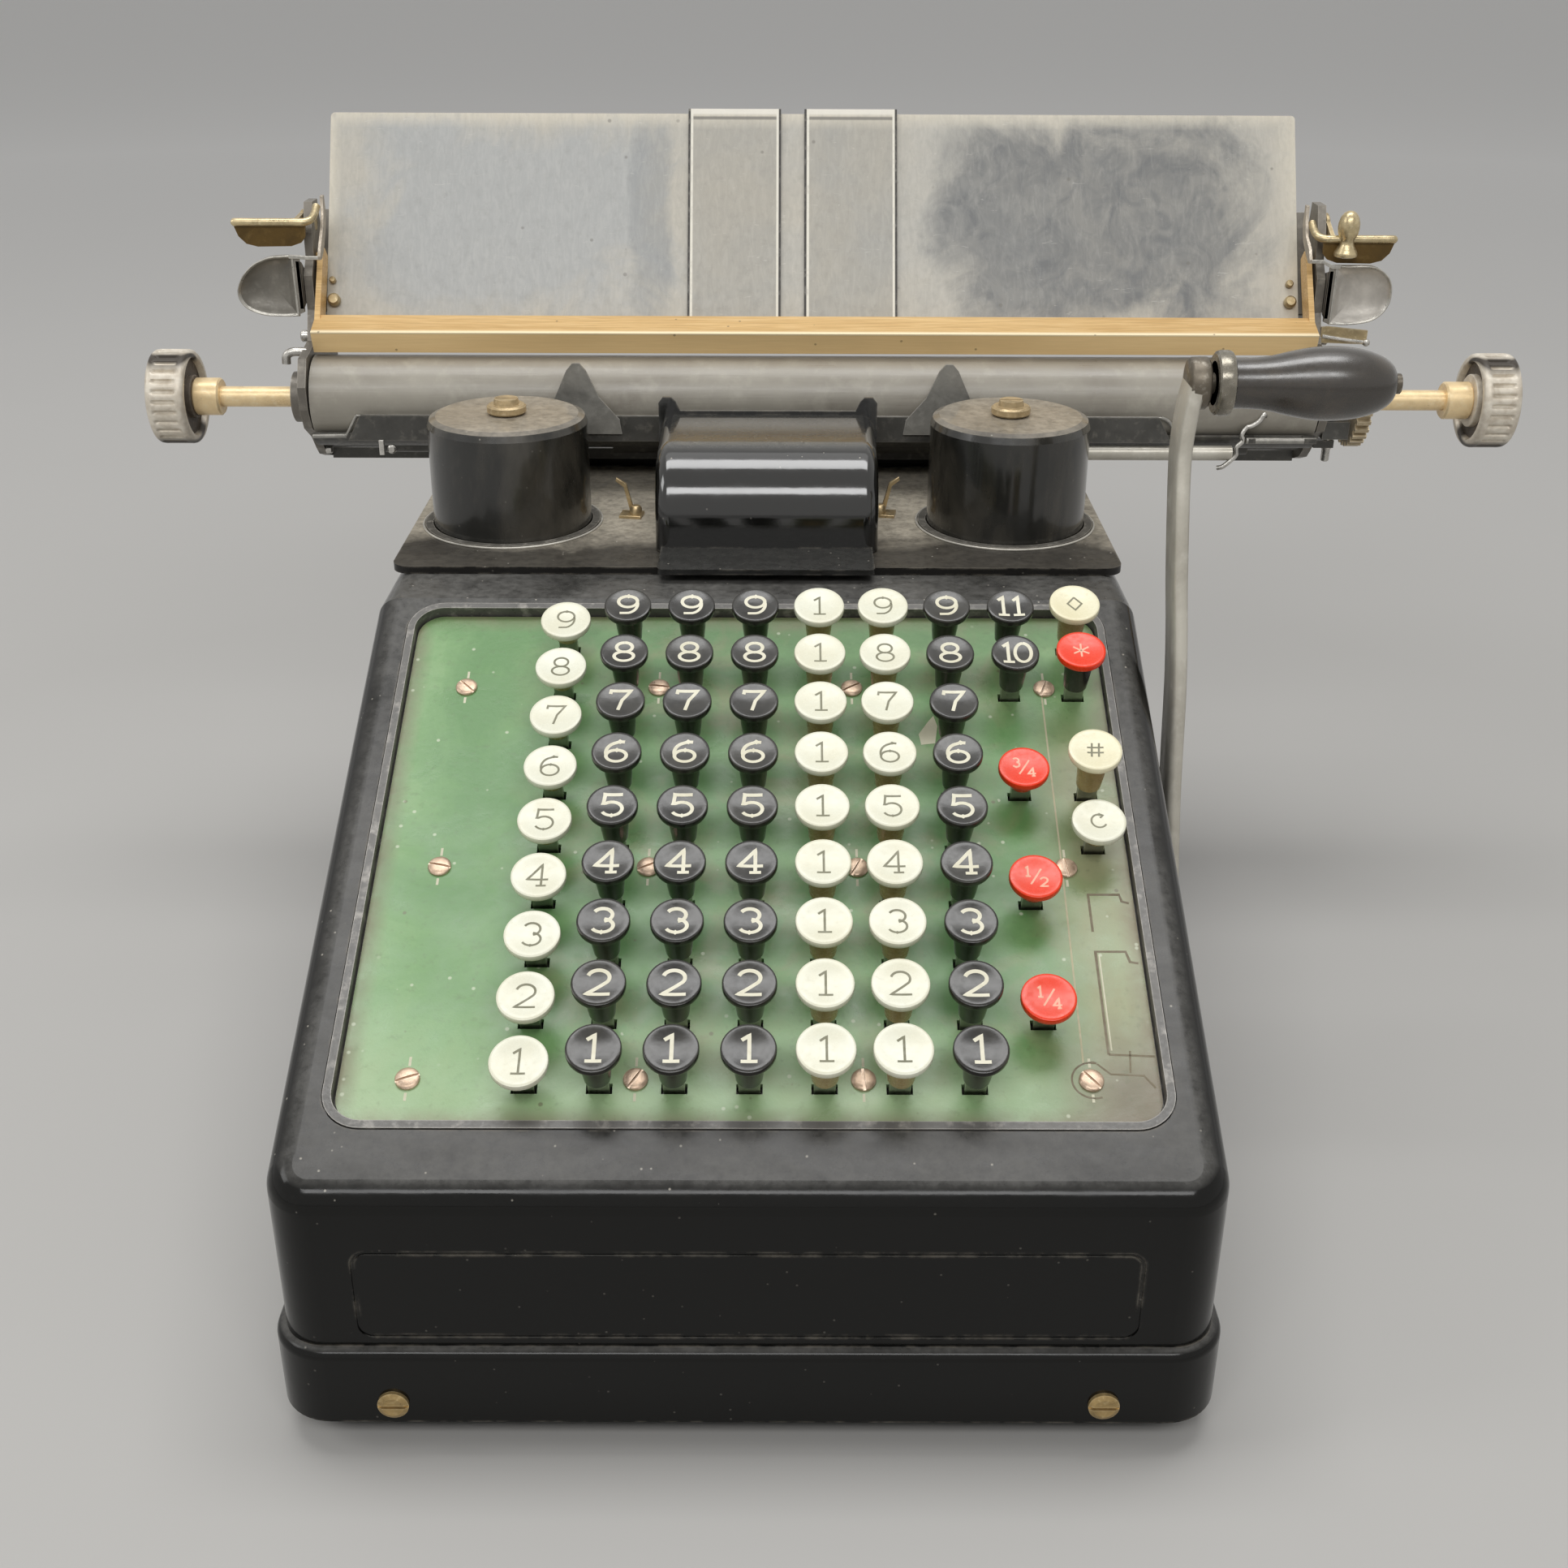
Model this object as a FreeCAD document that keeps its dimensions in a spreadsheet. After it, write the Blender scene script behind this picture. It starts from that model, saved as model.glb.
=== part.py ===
# A full-keyboard adding machine with a wide sliding carriage, in millimetres.
# X runs right, Y back and Z up. The origin lies on the table, under the middle of the whole machine
# with its carriage at rest. Each piece is drawn about the middle of the case and moved there last.

import FreeCAD
import Part
import Sketcher
import math
import os

SIZES = {
    # the case
    "case_width": 238.0,
    "case_depth": 342.0,
    "case_wall": 2.5,
    "skirt_bottom": 10.0,
    "skirt_top": 33.0,
    "skirt_flare": 2.7,
    "shelf_height": 164.0,
    "corner_round": 12.0,
    "rear_corner_round": 6.0,
    "rim_round": 8.0,
    "panel_width": 196.0,
    "panel_low": 35.7,
    "panel_high": 63.0,
    "panel_line": 1.0,
    "panel_depth": 0.4,
    "panel_corner": 4.0,
    "rear_window_width": 176.0,
    "rear_window_low": 46.0,
    "rear_window_high": 132.0,
    "rear_cover_lap": 8.0,
    "rear_cover_thick": 1.5,
    # the base and its feet
    "pan_width": 224.0,
    "pan_depth": 330.0,
    "pan_height": 15.0,
    "pan_wall": 2.5,
    "pan_corner": 14.0,
    "foot_height": 5.0,
    "foot_radius": 12.0,
    "foot_spread_x": 192.0,
    "foot_spread_y": 296.0,
    "lug_width": 14.0,
    "case_screw_spread": 181.0,
    "case_screw_height": 16.3,
    "case_screw_head": 4.0,
    "screw_shank": 2.0,
    "screw_gap": 0.1,
    "case_screw_length": 10.0,
    "screw_head_height": 1.6,
    "screw_slot": 0.9,
    # the sloping keyboard
    "slope": 24.4,
    "plate_reveal": 21.0,
    "plate_front_height": 85.6,
    "plate_width": 209.0,
    "plate_length": 178.0,
    "plate_corner": 8.0,
    "plate_thick": 1.6,
    "bezel_rise": 3.0,
    "trim_width": 2.2,
    "trim_gap": 0.5,
    "trim_proud": 0.4,
    "trim_ledge": 2.0,
    "opening_gap": 0.3,
    "plate_screw_spread_x": 58.0,
    "plate_screw_first": 13.0,
    "plate_screw_spread_y": 67.5,
    "plate_screw_head": 3.2,
    "plate_screw_shank": 1.5,
    "post_radius": 3.5,
    "guide_drop": 20.0,
    "guide_thick": 1.5,
    # the keys
    "column_pitch": 19.05,
    "row_pitch": 19.15,
    "first_row": 10.4,
    "key_height": 20.0,
    "low_key_height": 13.7,
    "total_key_height": 21.3,
    "white_cap_radius": 7.5,
    "black_cap_radius": 7.0,
    "red_cap_radius": 7.2,
    "cap_rim": 2.2,
    "cap_crown": 0.5,
    "cap_cone": 2.4,
    "neck_radius": 4.2,
    "neck_foot_radius": 3.5,
    "key_travel": 5.0,
    "neck_margin": 1.0,
    "stem_width": 5.5,
    "stem_thick": 1.8,
    "slot_gap": 0.6,
    "stem_tail": 27.0,
    # the deck behind the keyboard
    "deck_front": 38.0,
    "deck_thick": 2.5,
    "deck_inset": 0.5,
    "print_window_front": 56.0,
    "print_window_back": 116.0,
    "print_window_width": 66.0,
    # the ribbon housings
    "cover_spread": 170.0,
    "cover_y": 86.0,
    "cover_radius": 27.0,
    "cover_height": 38.7,
    "cover_wall": 1.2,
    "cover_edge_round": 3.0,
    "cup_radius": 30.0,
    "cup_floor": 1.0,
    "cover_gap": 0.4,
    "spindle_radius": 3.0,
    "spindle_gap": 0.3,
    "spool_radius": 21.5,
    "spool_core": 17.0,
    "spool_height": 15.0,
    "spool_flange": 1.0,
    "spool_lift": 16.0,
    "cover_nut_radius": 6.6,
    "cover_nut_height": 5.0,
    # the hood over the type bars
    "hood_x": 2.9,
    "hood_width": 73.5,
    "hood_front": 51.0,
    "hood_back": 107.0,
    "hood_top": 198.5,
    "hood_wall": 1.6,
    "hood_round": 22.0,
    "hood_side_round": 5.0,
    "hood_flange_rise": 1.2,
    "hood_ear_rise": 6.0,
    "hood_ear_width": 6.0,
    "hood_ear_reach": 1.4,
    "hood_lip": 21.5,
    "hood_lip_thick": 1.8,
    # the shield and fingers in front of the platen
    "shield_y": 117.2,
    "shield_thick": 1.2,
    "shield_top": 195.0,
    "shield_low": 186.0,
    "shield_width": 284.0,
    "shield_leg_x": 108.0,
    "shield_leg_width": 16.0,
    "shield_foot": 4.0,
    "finger_spread": 131.0,
    "finger_width": 31.0,
    "finger_base": 189.0,
    "finger_tip": 214.0,
    "guide_rod_radius": 2.7,
    "guide_rod_z": 181.0,
    "guide_rod_y": 122.4,
    "guide_rod_end": 170.0,
    "guide_rod_post": 100.0,
    # the rails and the carriage
    "rail_length": 224.0,
    "rail_width": 6.0,
    "rail_height": 4.5,
    "front_rail_y": 152.5,
    "rear_rail_y": 162.0,
    "rail_gap": 0.4,
    "bed_thick": 3.0,
    "bed_flange": 2.5,
    "bed_flange_drop": 1.0,
    "carriage_x": 19.55,
    "platen_length": 360.1,
    "platen_radius": 15.0,
    "platen_y": 136.0,
    "platen_z": 197.0,
    "platen_end_gap": 0.6,
    "end_plate_thick": 3.0,
    "end_plate_top": 262.0,
    "pan_gap": 1.5,
    "pan_sheet": 0.8,
    "roller_radius": 4.0,
    "roller_nip": 0.3,
    "roller_angle": 290.0,
    "roller_spindle": 2.0,
    "shaft_radius": 3.65,
    "running_gap": 0.05,
    "left_shaft_reach": 44.5,
    "right_shaft_reach": 58.0,
    "knob_socket": 11.0,
    "collar_radius": 6.7,
    "collar_length": 9.5,
    "knob_radius": 16.8,
    "knob_width": 13.8,
    "knob_flutes": 28.0,
    "knob_flute_radius": 1.2,
    "ratchet_radius": 16.5,
    "ratchet_width": 5.0,
    "ratchet_teeth": 30.0,
    "ratchet_gap": 10.2,
    "boss_radius": 9.0,
    "boss_length": 4.6,
    # the bail over the platen
    "bail_pivot_y": 157.5,
    "bail_pivot_z": 242.5,
    "bail_arm_thick": 2.0,
    "bail_arm_radius": 3.5,
    "bail_pin_radius": 2.0,
    "bail_pin_seam": 0.05,
    # the paper table, its guides and the levers at its ends
    "table_lean": 30.0,
    "table_foot_y": 149.0,
    "table_foot_z": 218.0,
    "table_length": 82.0,
    "table_thick": 1.2,
    "table_width": 355.0,
    "table_x": 19.0,
    "table_corner": 1.5,
    "guide_band_width": 34.0,
    "guide_band_thick": 0.8,
    "guide_band_gap": 0.5,
    "guide_hook": 9.0,
    "left_guide_x": -9.8,
    "right_guide_x": 32.8,
    "lever_thick": 1.6,
    "lever_pin_radius": 2.5,
    "release_pivot_y": 158.0,
    "release_pivot_z": 254.0,
    "release_reach": 23.8,
    "release_blade": 9.0,
    "right_blade_drop": 4.3,
    "spoon_pivot_y": 152.0,
    "spoon_pivot_z": 234.0,
    "spoon_reach": 23.0,
    "spoon_height": 21.6,
    "right_spoon_drop": 2.2,
    # the crank
    "crank_y": -24.0,
    "crank_z": 60.0,
    "elbow_y": -8.4,
    "elbow_z": 144.0,
    "knee_y": 8.0,
    "knee_z": 213.0,
    "grip_y": 8.5,
    "grip_z": 234.0,
    "arm_thick": 3.2,
    "arm_width": 15.0,
    "hub_radius": 12.0,
    "hub_length": 6.4,
    "hub_gap": 0.6,
    "drive_shaft_radius": 6.0,
    "bush_radius": 9.0,
    "bush_flange": 14.0,
    "bush_flange_thick": 2.4,
    "bush_gap": 0.1,
    "grip_start": 2.4,
    "grip_length": 54.0,
    "grip_radius": 10.7,
    "grip_pin_radius": 3.0,
    "grip_pin_gap": 0.1,
    # the frame and the adding mechanism inside
    "frame_span": 213.0,
    "frame_thick": 3.0,
    "frame_drop": 28.0,
    "frame_top": 155.0,
    "frame_back": 160.0,
    "tie_radius": 4.0,
    "type_bar_pitch": 7.0,
    "type_bar_width": 2.4,
    "type_bar_depth": 3.0,
    "type_bar_y": 110.6,
    "type_bar_low": 100.0,
    "type_bar_high": 188.0,
    "type_bars": 9.0,
    "wheel_radius": 11.0,
    "wheel_width": 5.0,
    "wheel_shaft_radius": 4.0,
    "wheel_teeth": 10.0,
    "wheel_y": 62.0,
    "wheel_z": 92.0,
    "cam_radius": 20.0,
    "cam_throw": 5.0,
    "cam_width": 6.0,
    "cam_spread": 120.0,
}

doc = FreeCAD.newDocument("AddingMachine")
sheet = doc.addObject("Spreadsheet::Sheet", "Dims")


class Size:
    """A number that also knows the sheet formula it comes from."""

    def __init__(self, value, text=None):
        self.value = float(value)
        self.text = text or "(%r)" % float(value)

    def __add__(self, other):
        other = as_size(other)
        return Size(self.value + other.value, "(%s + %s)" % (self.text, other.text))

    def __radd__(self, other):
        return as_size(other) + self

    def __sub__(self, other):
        other = as_size(other)
        return Size(self.value - other.value, "(%s - %s)" % (self.text, other.text))

    def __rsub__(self, other):
        return as_size(other) - self

    def __mul__(self, other):
        other = as_size(other)
        return Size(self.value * other.value, "(%s * %s)" % (self.text, other.text))

    def __rmul__(self, other):
        return as_size(other) * self

    def __truediv__(self, other):
        other = as_size(other)
        return Size(self.value / other.value, "(%s / %s)" % (self.text, other.text))

    def __neg__(self):
        return Size(-self.value, "(0 - %s)" % self.text)


def as_size(number):
    return number if isinstance(number, Size) else Size(number)


def sin_of(angle):
    angle = as_size(angle)
    return Size(math.sin(math.radians(angle.value)), "sin(%s)" % angle.text)


def cos_of(angle):
    angle = as_size(angle)
    return Size(math.cos(math.radians(angle.value)), "cos(%s)" % angle.text)


class Dims:
    """Every driving dimension, as an attribute of its own name."""


d = Dims()
for row, (alias, number) in enumerate(SIZES.items(), start=1):
    sheet.set("A%d" % row, alias)
    sheet.set("B%d" % row, str(number))
    sheet.setAlias("B%d" % row, alias)
    setattr(d, alias, Size(number, "Dims.%s" % alias))
doc.recompute()


def vector(x, y, z):
    return FreeCAD.Vector(as_size(x).value, as_size(y).value, as_size(z).value)


def bind(item, prop, size):
    item.setExpression(prop, as_size(size).text)


def bind_base(item, prop, point):
    for axis, size in zip("xyz", point):
        bind(item, "%s.Base.%s" % (prop, axis), size)


# how each origin plane carries a sketch: its two axes, its normal, and which way features grow
ROLES = {
    "XY_Plane": ((0, 1, 2), 1, False),
    "XZ_Plane": ((0, 2, 1), -1, True),
    "YZ_Plane": ((1, 2, 0), 1, False),
}
AXIS_PLANE = {"X": "YZ_Plane", "Y": "XZ_Plane", "Z": "XY_Plane"}
DIRECTIONS = {"X": FreeCAD.Vector(1, 0, 0), "Y": FreeCAD.Vector(0, 1, 0), "Z": FreeCAD.Vector(0, 0, 1)}


def fixed_point(edge, end, x, y):
    """Both distances of a point from the zero of its sketch."""
    return [(Sketcher.Constraint("DistanceX", -1, 1, edge, end, x.value), x),
            (Sketcher.Constraint("DistanceY", -1, 1, edge, end, y.value), y)]


class Circle:
    """A round loop of a sketch."""

    def __init__(self, x, y, radius):
        self.x = as_size(x)
        self.y = as_size(y)
        self.radius = as_size(radius)


class Rounded:
    """A rectangle with round corners."""

    def __init__(self, x0, y0, x1, y1, radius):
        self.sides = [as_size(item) for item in (x0, y0, x1, y1)]
        self.radius = as_size(radius)


def rectangle(x0, y0, x1, y1):
    return [(x0, y0), (x1, y0), (x1, y1), (x0, y1)]


pieces = {}
stands = {}
cuts = []


class Piece:
    """One sub-part: a body made of padded, cut and turned sketches."""

    def __init__(self, label, keep=True):
        self.body = doc.addObject("PartDesign::Body", label)
        self.body.Label = label
        self.body.AllowCompound = True
        self.count = 0
        if keep:
            pieces[label] = self.body

    def origin(self, role):
        return [item for item in self.body.Origin.OriginFeatures if item.Role == role][0]

    def new(self, kind, word):
        self.count += 1
        return self.body.newObject(kind, "%s_%s_%d" % (self.body.Name, word, self.count))

    def sketch(self, axis, loops, origin):
        """A sketch square to an axis, its zero at a point of the piece's space."""
        role = AXIS_PLANE[axis]
        order, sign, _ = ROLES[role]
        item = self.new("Sketcher::SketchObject", "sketch")
        item.AttachmentSupport = [(self.origin(role), "")]
        item.MapMode = "FlatFace"
        first, second, third = (as_size(origin[k]) for k in order)
        offset = (first, second, third if sign > 0 else -third)
        item.AttachmentOffset = FreeCAD.Placement(vector(*offset), FreeCAD.Rotation())
        bind_base(item, "AttachmentOffset", offset)
        for loop in loops:
            if isinstance(loop, Circle):
                self.draw_circle(item, loop)
            elif isinstance(loop, Rounded):
                self.draw_rounded(item, loop)
            else:
                self.draw_polygon(item, [(as_size(x), as_size(y)) for x, y in loop])
        return item

    def draw_circle(self, item, loop):
        centre = FreeCAD.Vector(loop.x.value, loop.y.value, 0)
        edge = item.addGeometry(Part.Circle(centre, FreeCAD.Vector(0, 0, 1), loop.radius.value), False)
        rules = fixed_point(edge, 3, loop.x, loop.y)
        rules.append((Sketcher.Constraint("Radius", edge, loop.radius.value), loop.radius))
        self.constrain(item, rules)

    def draw_polygon(self, item, points):
        corners = [FreeCAD.Vector(x.value, y.value, 0) for x, y in points]
        first = item.GeometryCount
        for start, end in zip(corners, corners[1:] + corners[:1]):
            item.addGeometry(Part.LineSegment(start, end), False)
        count = len(points)
        rules = []
        for k, (x, y) in enumerate(points):
            rules.append((Sketcher.Constraint("Coincident", first + k, 2, first + (k + 1) % count, 1), None))
            rules += fixed_point(first + k, 1, x, y)
        self.constrain(item, rules)

    def draw_rounded(self, item, loop):
        x0, y0, x1, y1 = loop.sides
        r = loop.radius
        points = [(x0 + r, y0), (x1 - r, y0), (x1, y0 + r), (x1, y1 - r),
                  (x1 - r, y1), (x0 + r, y1), (x0, y1 - r), (x0, y0 + r)]
        centres = [(x1 - r, y0 + r), (x1 - r, y1 - r), (x0 + r, y1 - r), (x0 + r, y0 + r)]
        first = item.GeometryCount
        for k in range(4):
            start = points[2 * k]
            end = points[2 * k + 1]
            middle = centres[k]
            item.addGeometry(Part.LineSegment(vector(*start, 0), vector(*end, 0)), False)
            whole = Part.Circle(vector(*middle, 0), FreeCAD.Vector(0, 0, 1), r.value)
            turn = math.pi / 2 * (k - 1)
            item.addGeometry(Part.ArcOfCircle(whole, turn, turn + math.pi / 2), False)
        rules = []
        for k in range(4):
            line = first + 2 * k
            following = first + (2 * k + 2) % 8
            rules.append((Sketcher.Constraint("Coincident", line, 2, line + 1, 1), None))
            rules.append((Sketcher.Constraint("Coincident", line + 1, 2, following, 1), None))
            rules += fixed_point(line, 1, *points[2 * k])
            rules += fixed_point(line, 2, *points[2 * k + 1])
            rules.append((Sketcher.Constraint("Radius", line + 1, r.value), r))
        self.constrain(item, rules)

    def constrain(self, item, rules):
        """Adds the constraints at once, each bound to its size."""
        first = item.ConstraintCount
        item.addConstraint([rule for rule, size in rules])
        for k, (rule, size) in enumerate(rules):
            if size is not None:
                bind(item, "Constraints[%d]" % (first + k), size)

    def pad(self, axis, loops, length, origin=(0, 0, 0)):
        """Material from the sketch onwards along the axis."""
        item = self.sketch(axis, loops, origin)
        feature = self.new("PartDesign::Pad", "pad")
        feature.Profile = item
        feature.Reversed = ROLES[AXIS_PLANE[axis]][2]
        bind(feature, "Length", length)
        return feature

    def cut(self, axis, loops, length, origin=(0, 0, 0)):
        """A cut from the sketch onwards along the axis."""
        item = self.sketch(axis, loops, origin)
        feature = self.new("PartDesign::Pocket", "cut")
        feature.Profile = item
        feature.Reversed = not ROLES[AXIS_PLANE[axis]][2]
        bind(feature, "Length", length)
        cuts.append(feature)
        return feature

    def turn(self, axis, points, origin):
        """A profile, drawn as length and radius, turned about an axis through a point."""
        if axis == "Y":
            item = self.sketch("X", [points], origin)
            line = "H_Axis"
        elif axis == "X":
            item = self.sketch("Y", [points], origin)
            line = "H_Axis"
        else:
            item = self.sketch("Y", [[(radius, along) for along, radius in points]], origin)
            line = "V_Axis"
        feature = self.new("PartDesign::Revolution", "turn")
        feature.Profile = item
        feature.ReferenceAxis = (item, [line])
        feature.Angle = 360
        return feature

    def rod(self, axis, radius, length, origin):
        return self.pad(axis, [Circle(0, 0, radius)], length, origin)

    def drill(self, axis, radius, length, origin):
        return self.cut(axis, [Circle(0, 0, radius)], length, origin)

    def row(self, features, axis, pitch, count):
        """Equal steps of the features along an axis."""
        pattern = self.new("PartDesign::LinearPattern", "row")
        pattern.Originals = features
        pattern.Direction = (self.origin(axis + "_Axis"), [""])
        bind(pattern, "Length", as_size(pitch) * (as_size(count) - 1))
        bind(pattern, "Occurrences", count)
        self.body.Tip = pattern
        return pattern

    def grid(self, features, first, second):
        """Equal steps along two axes, each given as axis, pitch and count."""
        pattern = self.row(features, *first)
        pattern.Direction2 = (self.origin(second[0] + "_Axis"), [""])
        bind(pattern, "Length2", as_size(second[1]) * (as_size(second[2]) - 1))
        bind(pattern, "Occurrences2", second[2])
        return pattern

    def wheel(self, features, item, line, count):
        """Equal turns of the features about an axis of a sketch."""
        pattern = self.new("PartDesign::PolarPattern", "wheel")
        pattern.Originals = features
        pattern.Axis = (item, [line])
        pattern.Angle = 360
        bind(pattern, "Occurrences", count)
        self.body.Tip = pattern
        return pattern

    def mirror(self, features, role):
        pattern = self.new("PartDesign::Mirrored", "mirror")
        pattern.Originals = features
        pattern.MirrorPlane = (self.origin(role), [""])
        self.body.Tip = pattern
        return pattern

    def round(self, radius, chosen):
        """Fillets on the edges that a test picks."""
        doc.recompute()
        tip = self.body.Tip
        names = ["Edge%d" % (k + 1) for k, edge in enumerate(tip.Shape.Edges) if chosen(edge)]
        if not names:
            raise ValueError("%s has no such edge" % self.body.Name)
        fillet = self.new("PartDesign::Fillet", "round")
        fillet.Base = (tip, names)
        bind(fillet, "Radius", radius)
        doc.recompute()
        return fillet

    def stand(self, point, turn_axis=None, angle=0):
        """The body's own placement, turned about an axis of its space."""
        rotation = FreeCAD.Rotation()
        if turn_axis:
            rotation = FreeCAD.Rotation(DIRECTIONS[turn_axis], as_size(angle).value)
        self.body.Placement = FreeCAD.Placement(vector(*point), rotation)
        bind_base(self.body, "Placement", point)
        stands[self.body.Label] = point
        if turn_axis:
            bind(self.body, "Placement.Rotation.Angle", angle)


def along(axis, test=None):
    """Picks straight edges parallel to an axis, within a further test of the middle."""
    direction = DIRECTIONS[axis]

    def chosen(edge):
        if edge.Curve.TypeId != "Part::GeomLine":
            return False
        if abs(edge.Curve.Direction.dot(direction)) < 0.999:
            return False
        return test is None or test(edge.CenterOfMass)

    return chosen


def near(value, size, slack=0.05):
    return abs(value - as_size(size).value) < slack


def join(label, *items):
    """Several bodies as one."""
    whole = doc.addObject("Part::MultiFuse", label)
    whole.Label = label
    whole.Shapes = [item.body for item in items]
    whole.Refine = True
    doc.recompute()
    return whole


def difference(label, base, tool):
    """One shape less another, as a sub-part."""
    result = doc.addObject("Part::Cut", label)
    result.Label = label
    result.Base = base
    result.Tool = tool
    result.Refine = True
    doc.recompute()
    pieces[label] = result
    return result


# places that several pieces share

case_half = d.case_width / 2
case_front = -(d.case_depth / 2)
case_back = d.case_depth / 2
plate_front = case_front + d.plate_reveal
sine = sin_of(d.slope)
cosine = cos_of(d.slope)


def board_point(up_slope, above):
    """Y and Z of a point, from its way up the keyboard's slope and its height off the plate."""
    y = plate_front + up_slope * cosine - above * sine
    z = d.plate_front_height + up_slope * sine + above * cosine
    return y, z


def on_board(piece):
    """Stands a piece that is drawn flat on the keyboard's slope."""
    piece.stand((0, plate_front, d.plate_front_height), "X", d.slope)


bezel_front_z = d.plate_front_height - (d.plate_reveal * sine - d.bezel_rise) / cosine
bezel_back_y = case_front + (d.shelf_height - bezel_front_z) * cosine / sine
flare_x = case_half + d.skirt_flare
flare_y = case_back + d.skirt_flare
deck_top = d.shelf_height + d.deck_thick
pan_floor = d.foot_height + d.pan_wall
hood_half = d.hood_width / 2
cover_x = d.cover_spread / 2
cup_inner = d.cover_radius + d.cover_gap
cover_low = d.shelf_height + d.cup_floor + d.cover_gap
plate_half = d.plate_width / 2
trim_inner = plate_half + d.trim_gap
trim_outer = trim_inner + d.trim_width
screw_columns = [(k - 1.5) * d.plate_screw_spread_x for k in range(4)]
screw_rows = [d.plate_screw_first + k * d.plate_screw_spread_y for k in range(3)]
left_end = d.carriage_x - d.platen_length / 2 - d.platen_end_gap
right_end = d.carriage_x + d.platen_length / 2 + d.platen_end_gap
bed_low = deck_top + d.rail_height + d.rail_gap
bed_top = bed_low + d.bed_thick
frame_half = d.frame_span / 2


# base_pan: a shallow tray under the case, with four lugs that take the case screws

pan_half_x = d.pan_width / 2
pan_half_y = d.pan_depth / 2
pan = Piece("base_pan")
pan_outer = Rounded(-pan_half_x, -pan_half_y, pan_half_x, pan_half_y, d.pan_corner)
pan_inner = Rounded(-pan_half_x + d.pan_wall, -pan_half_y + d.pan_wall,
                    pan_half_x - d.pan_wall, pan_half_y - d.pan_wall, d.pan_corner - d.pan_wall)
pan.pad("Z", [pan_outer], d.pan_height, (0, 0, d.foot_height))
pan.cut("Z", [pan_inner], d.pan_height - d.pan_wall, (0, 0, pan_floor))
lug_low = d.skirt_bottom + 1
lug_reach = flare_y - d.case_wall - pan_half_y
lug_x = d.case_screw_spread / 2
lugs = [pan.pad("Y", [rectangle(side * lug_x - d.lug_width / 2, lug_low,
                                side * lug_x + d.lug_width / 2, d.foot_height + d.pan_height)],
                lug_reach, (0, -pan_half_y - lug_reach, 0)) for side in (-1, 1)]
holes = [pan.drill("Y", d.screw_shank + d.screw_gap, lug_reach + d.pan_wall,
                   (side * lug_x, -pan_half_y - lug_reach, d.case_screw_height)) for side in (-1, 1)]
pan.mirror(lugs + holes, "XZ_Plane")

# rubber_feet: four tapered feet

feet = Piece("rubber_feet")
foot = feet.turn("Z", [(0, 0), (0, d.foot_radius), (d.foot_height, d.foot_radius - 1), (d.foot_height, 0)],
                 (-d.foot_spread_x / 2, -d.foot_spread_y / 2, 0))
feet.grid([foot], ("X", d.foot_spread_x, 2), ("Y", d.foot_spread_y, 2))


# body_shell: the deep case, open below, with its flared skirt


def top_rim(edge):
    """The edges round the top of the case, but not the crease across it."""
    middle = edge.CenterOfMass
    if edge.BoundBox.ZMax < bezel_front_z.value - 15:
        return False
    if edge.BoundBox.ZLength > 50 and edge.BoundBox.YLength < 2:
        return False
    crease = near(middle.y, bezel_back_y, 3) and edge.BoundBox.XLength > case_half.value
    return not crease


def case_form(label, inset):
    """The outline of the case, drawn in by an inset on every side but the bottom."""
    form = Piece(label, keep=False)
    front = case_front + inset
    back = case_back - inset
    low_z = bezel_front_z + inset * sine / cosine - inset / cosine
    high_z = d.shelf_height - inset
    crease_y = front + (high_z - low_z) * cosine / sine
    form.pad("X", [[(front, d.skirt_bottom), (back, d.skirt_bottom), (back, high_z),
                    (crease_y, high_z), (front, low_z)]],
             d.case_width - 2 * inset, (inset - case_half, 0, 0))
    form.round(d.corner_round - inset, along("Z", lambda middle: middle.y < 0))
    form.round(d.rear_corner_round - inset, along("Z", lambda middle: middle.y > case_back.value - 5))
    form.round(d.rim_round - inset, top_rim)
    return form


def skirt_form(label, inset):
    """The flared skirt with its rounded shoulder, drawn in by an inset."""
    form = Piece(label, keep=False)
    half_x = flare_x - inset
    half_y = flare_y - inset
    corner = d.corner_round + d.skirt_flare - inset
    height = d.skirt_top - d.skirt_bottom - inset
    form.pad("Z", [Rounded(-half_x, -half_y, half_x, half_y, corner)], height, (0, 0, d.skirt_bottom))
    top = (d.skirt_bottom + height).value
    form.round(d.skirt_flare, lambda edge: abs(edge.BoundBox.ZMin - top) < 0.01)
    return form


openings = Piece("shell_openings", keep=False)
panel_half = d.panel_width / 2
panel_outer = Rounded(-panel_half, d.panel_low, panel_half, d.panel_high, d.panel_corner)
panel_inner = Rounded(-panel_half + d.panel_line, d.panel_low + d.panel_line, panel_half - d.panel_line,
                      d.panel_high - d.panel_line, d.panel_corner - d.panel_line)
openings.pad("Y", [panel_outer, panel_inner], 1 + d.panel_depth, (0, case_front - 1, 0))
window_half = d.rear_window_width / 2
openings.pad("Y", [Rounded(-window_half, d.rear_window_low, window_half, d.rear_window_high, 6)],
             d.case_wall + 4, (0, case_back - d.case_wall - 2, 0))
print_half = d.print_window_width / 2
print_window = Rounded(d.hood_x - print_half, d.print_window_front, d.hood_x + print_half,
                       d.print_window_back, 3)
openings.pad("Z", [print_window], d.case_wall + 4, (0, 0, d.shelf_height - d.case_wall - 2))
openings.rod("X", d.bush_radius + d.bush_gap, d.case_wall + 4,
             (case_half - d.case_wall - 2, d.crank_y, d.crank_z))
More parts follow.
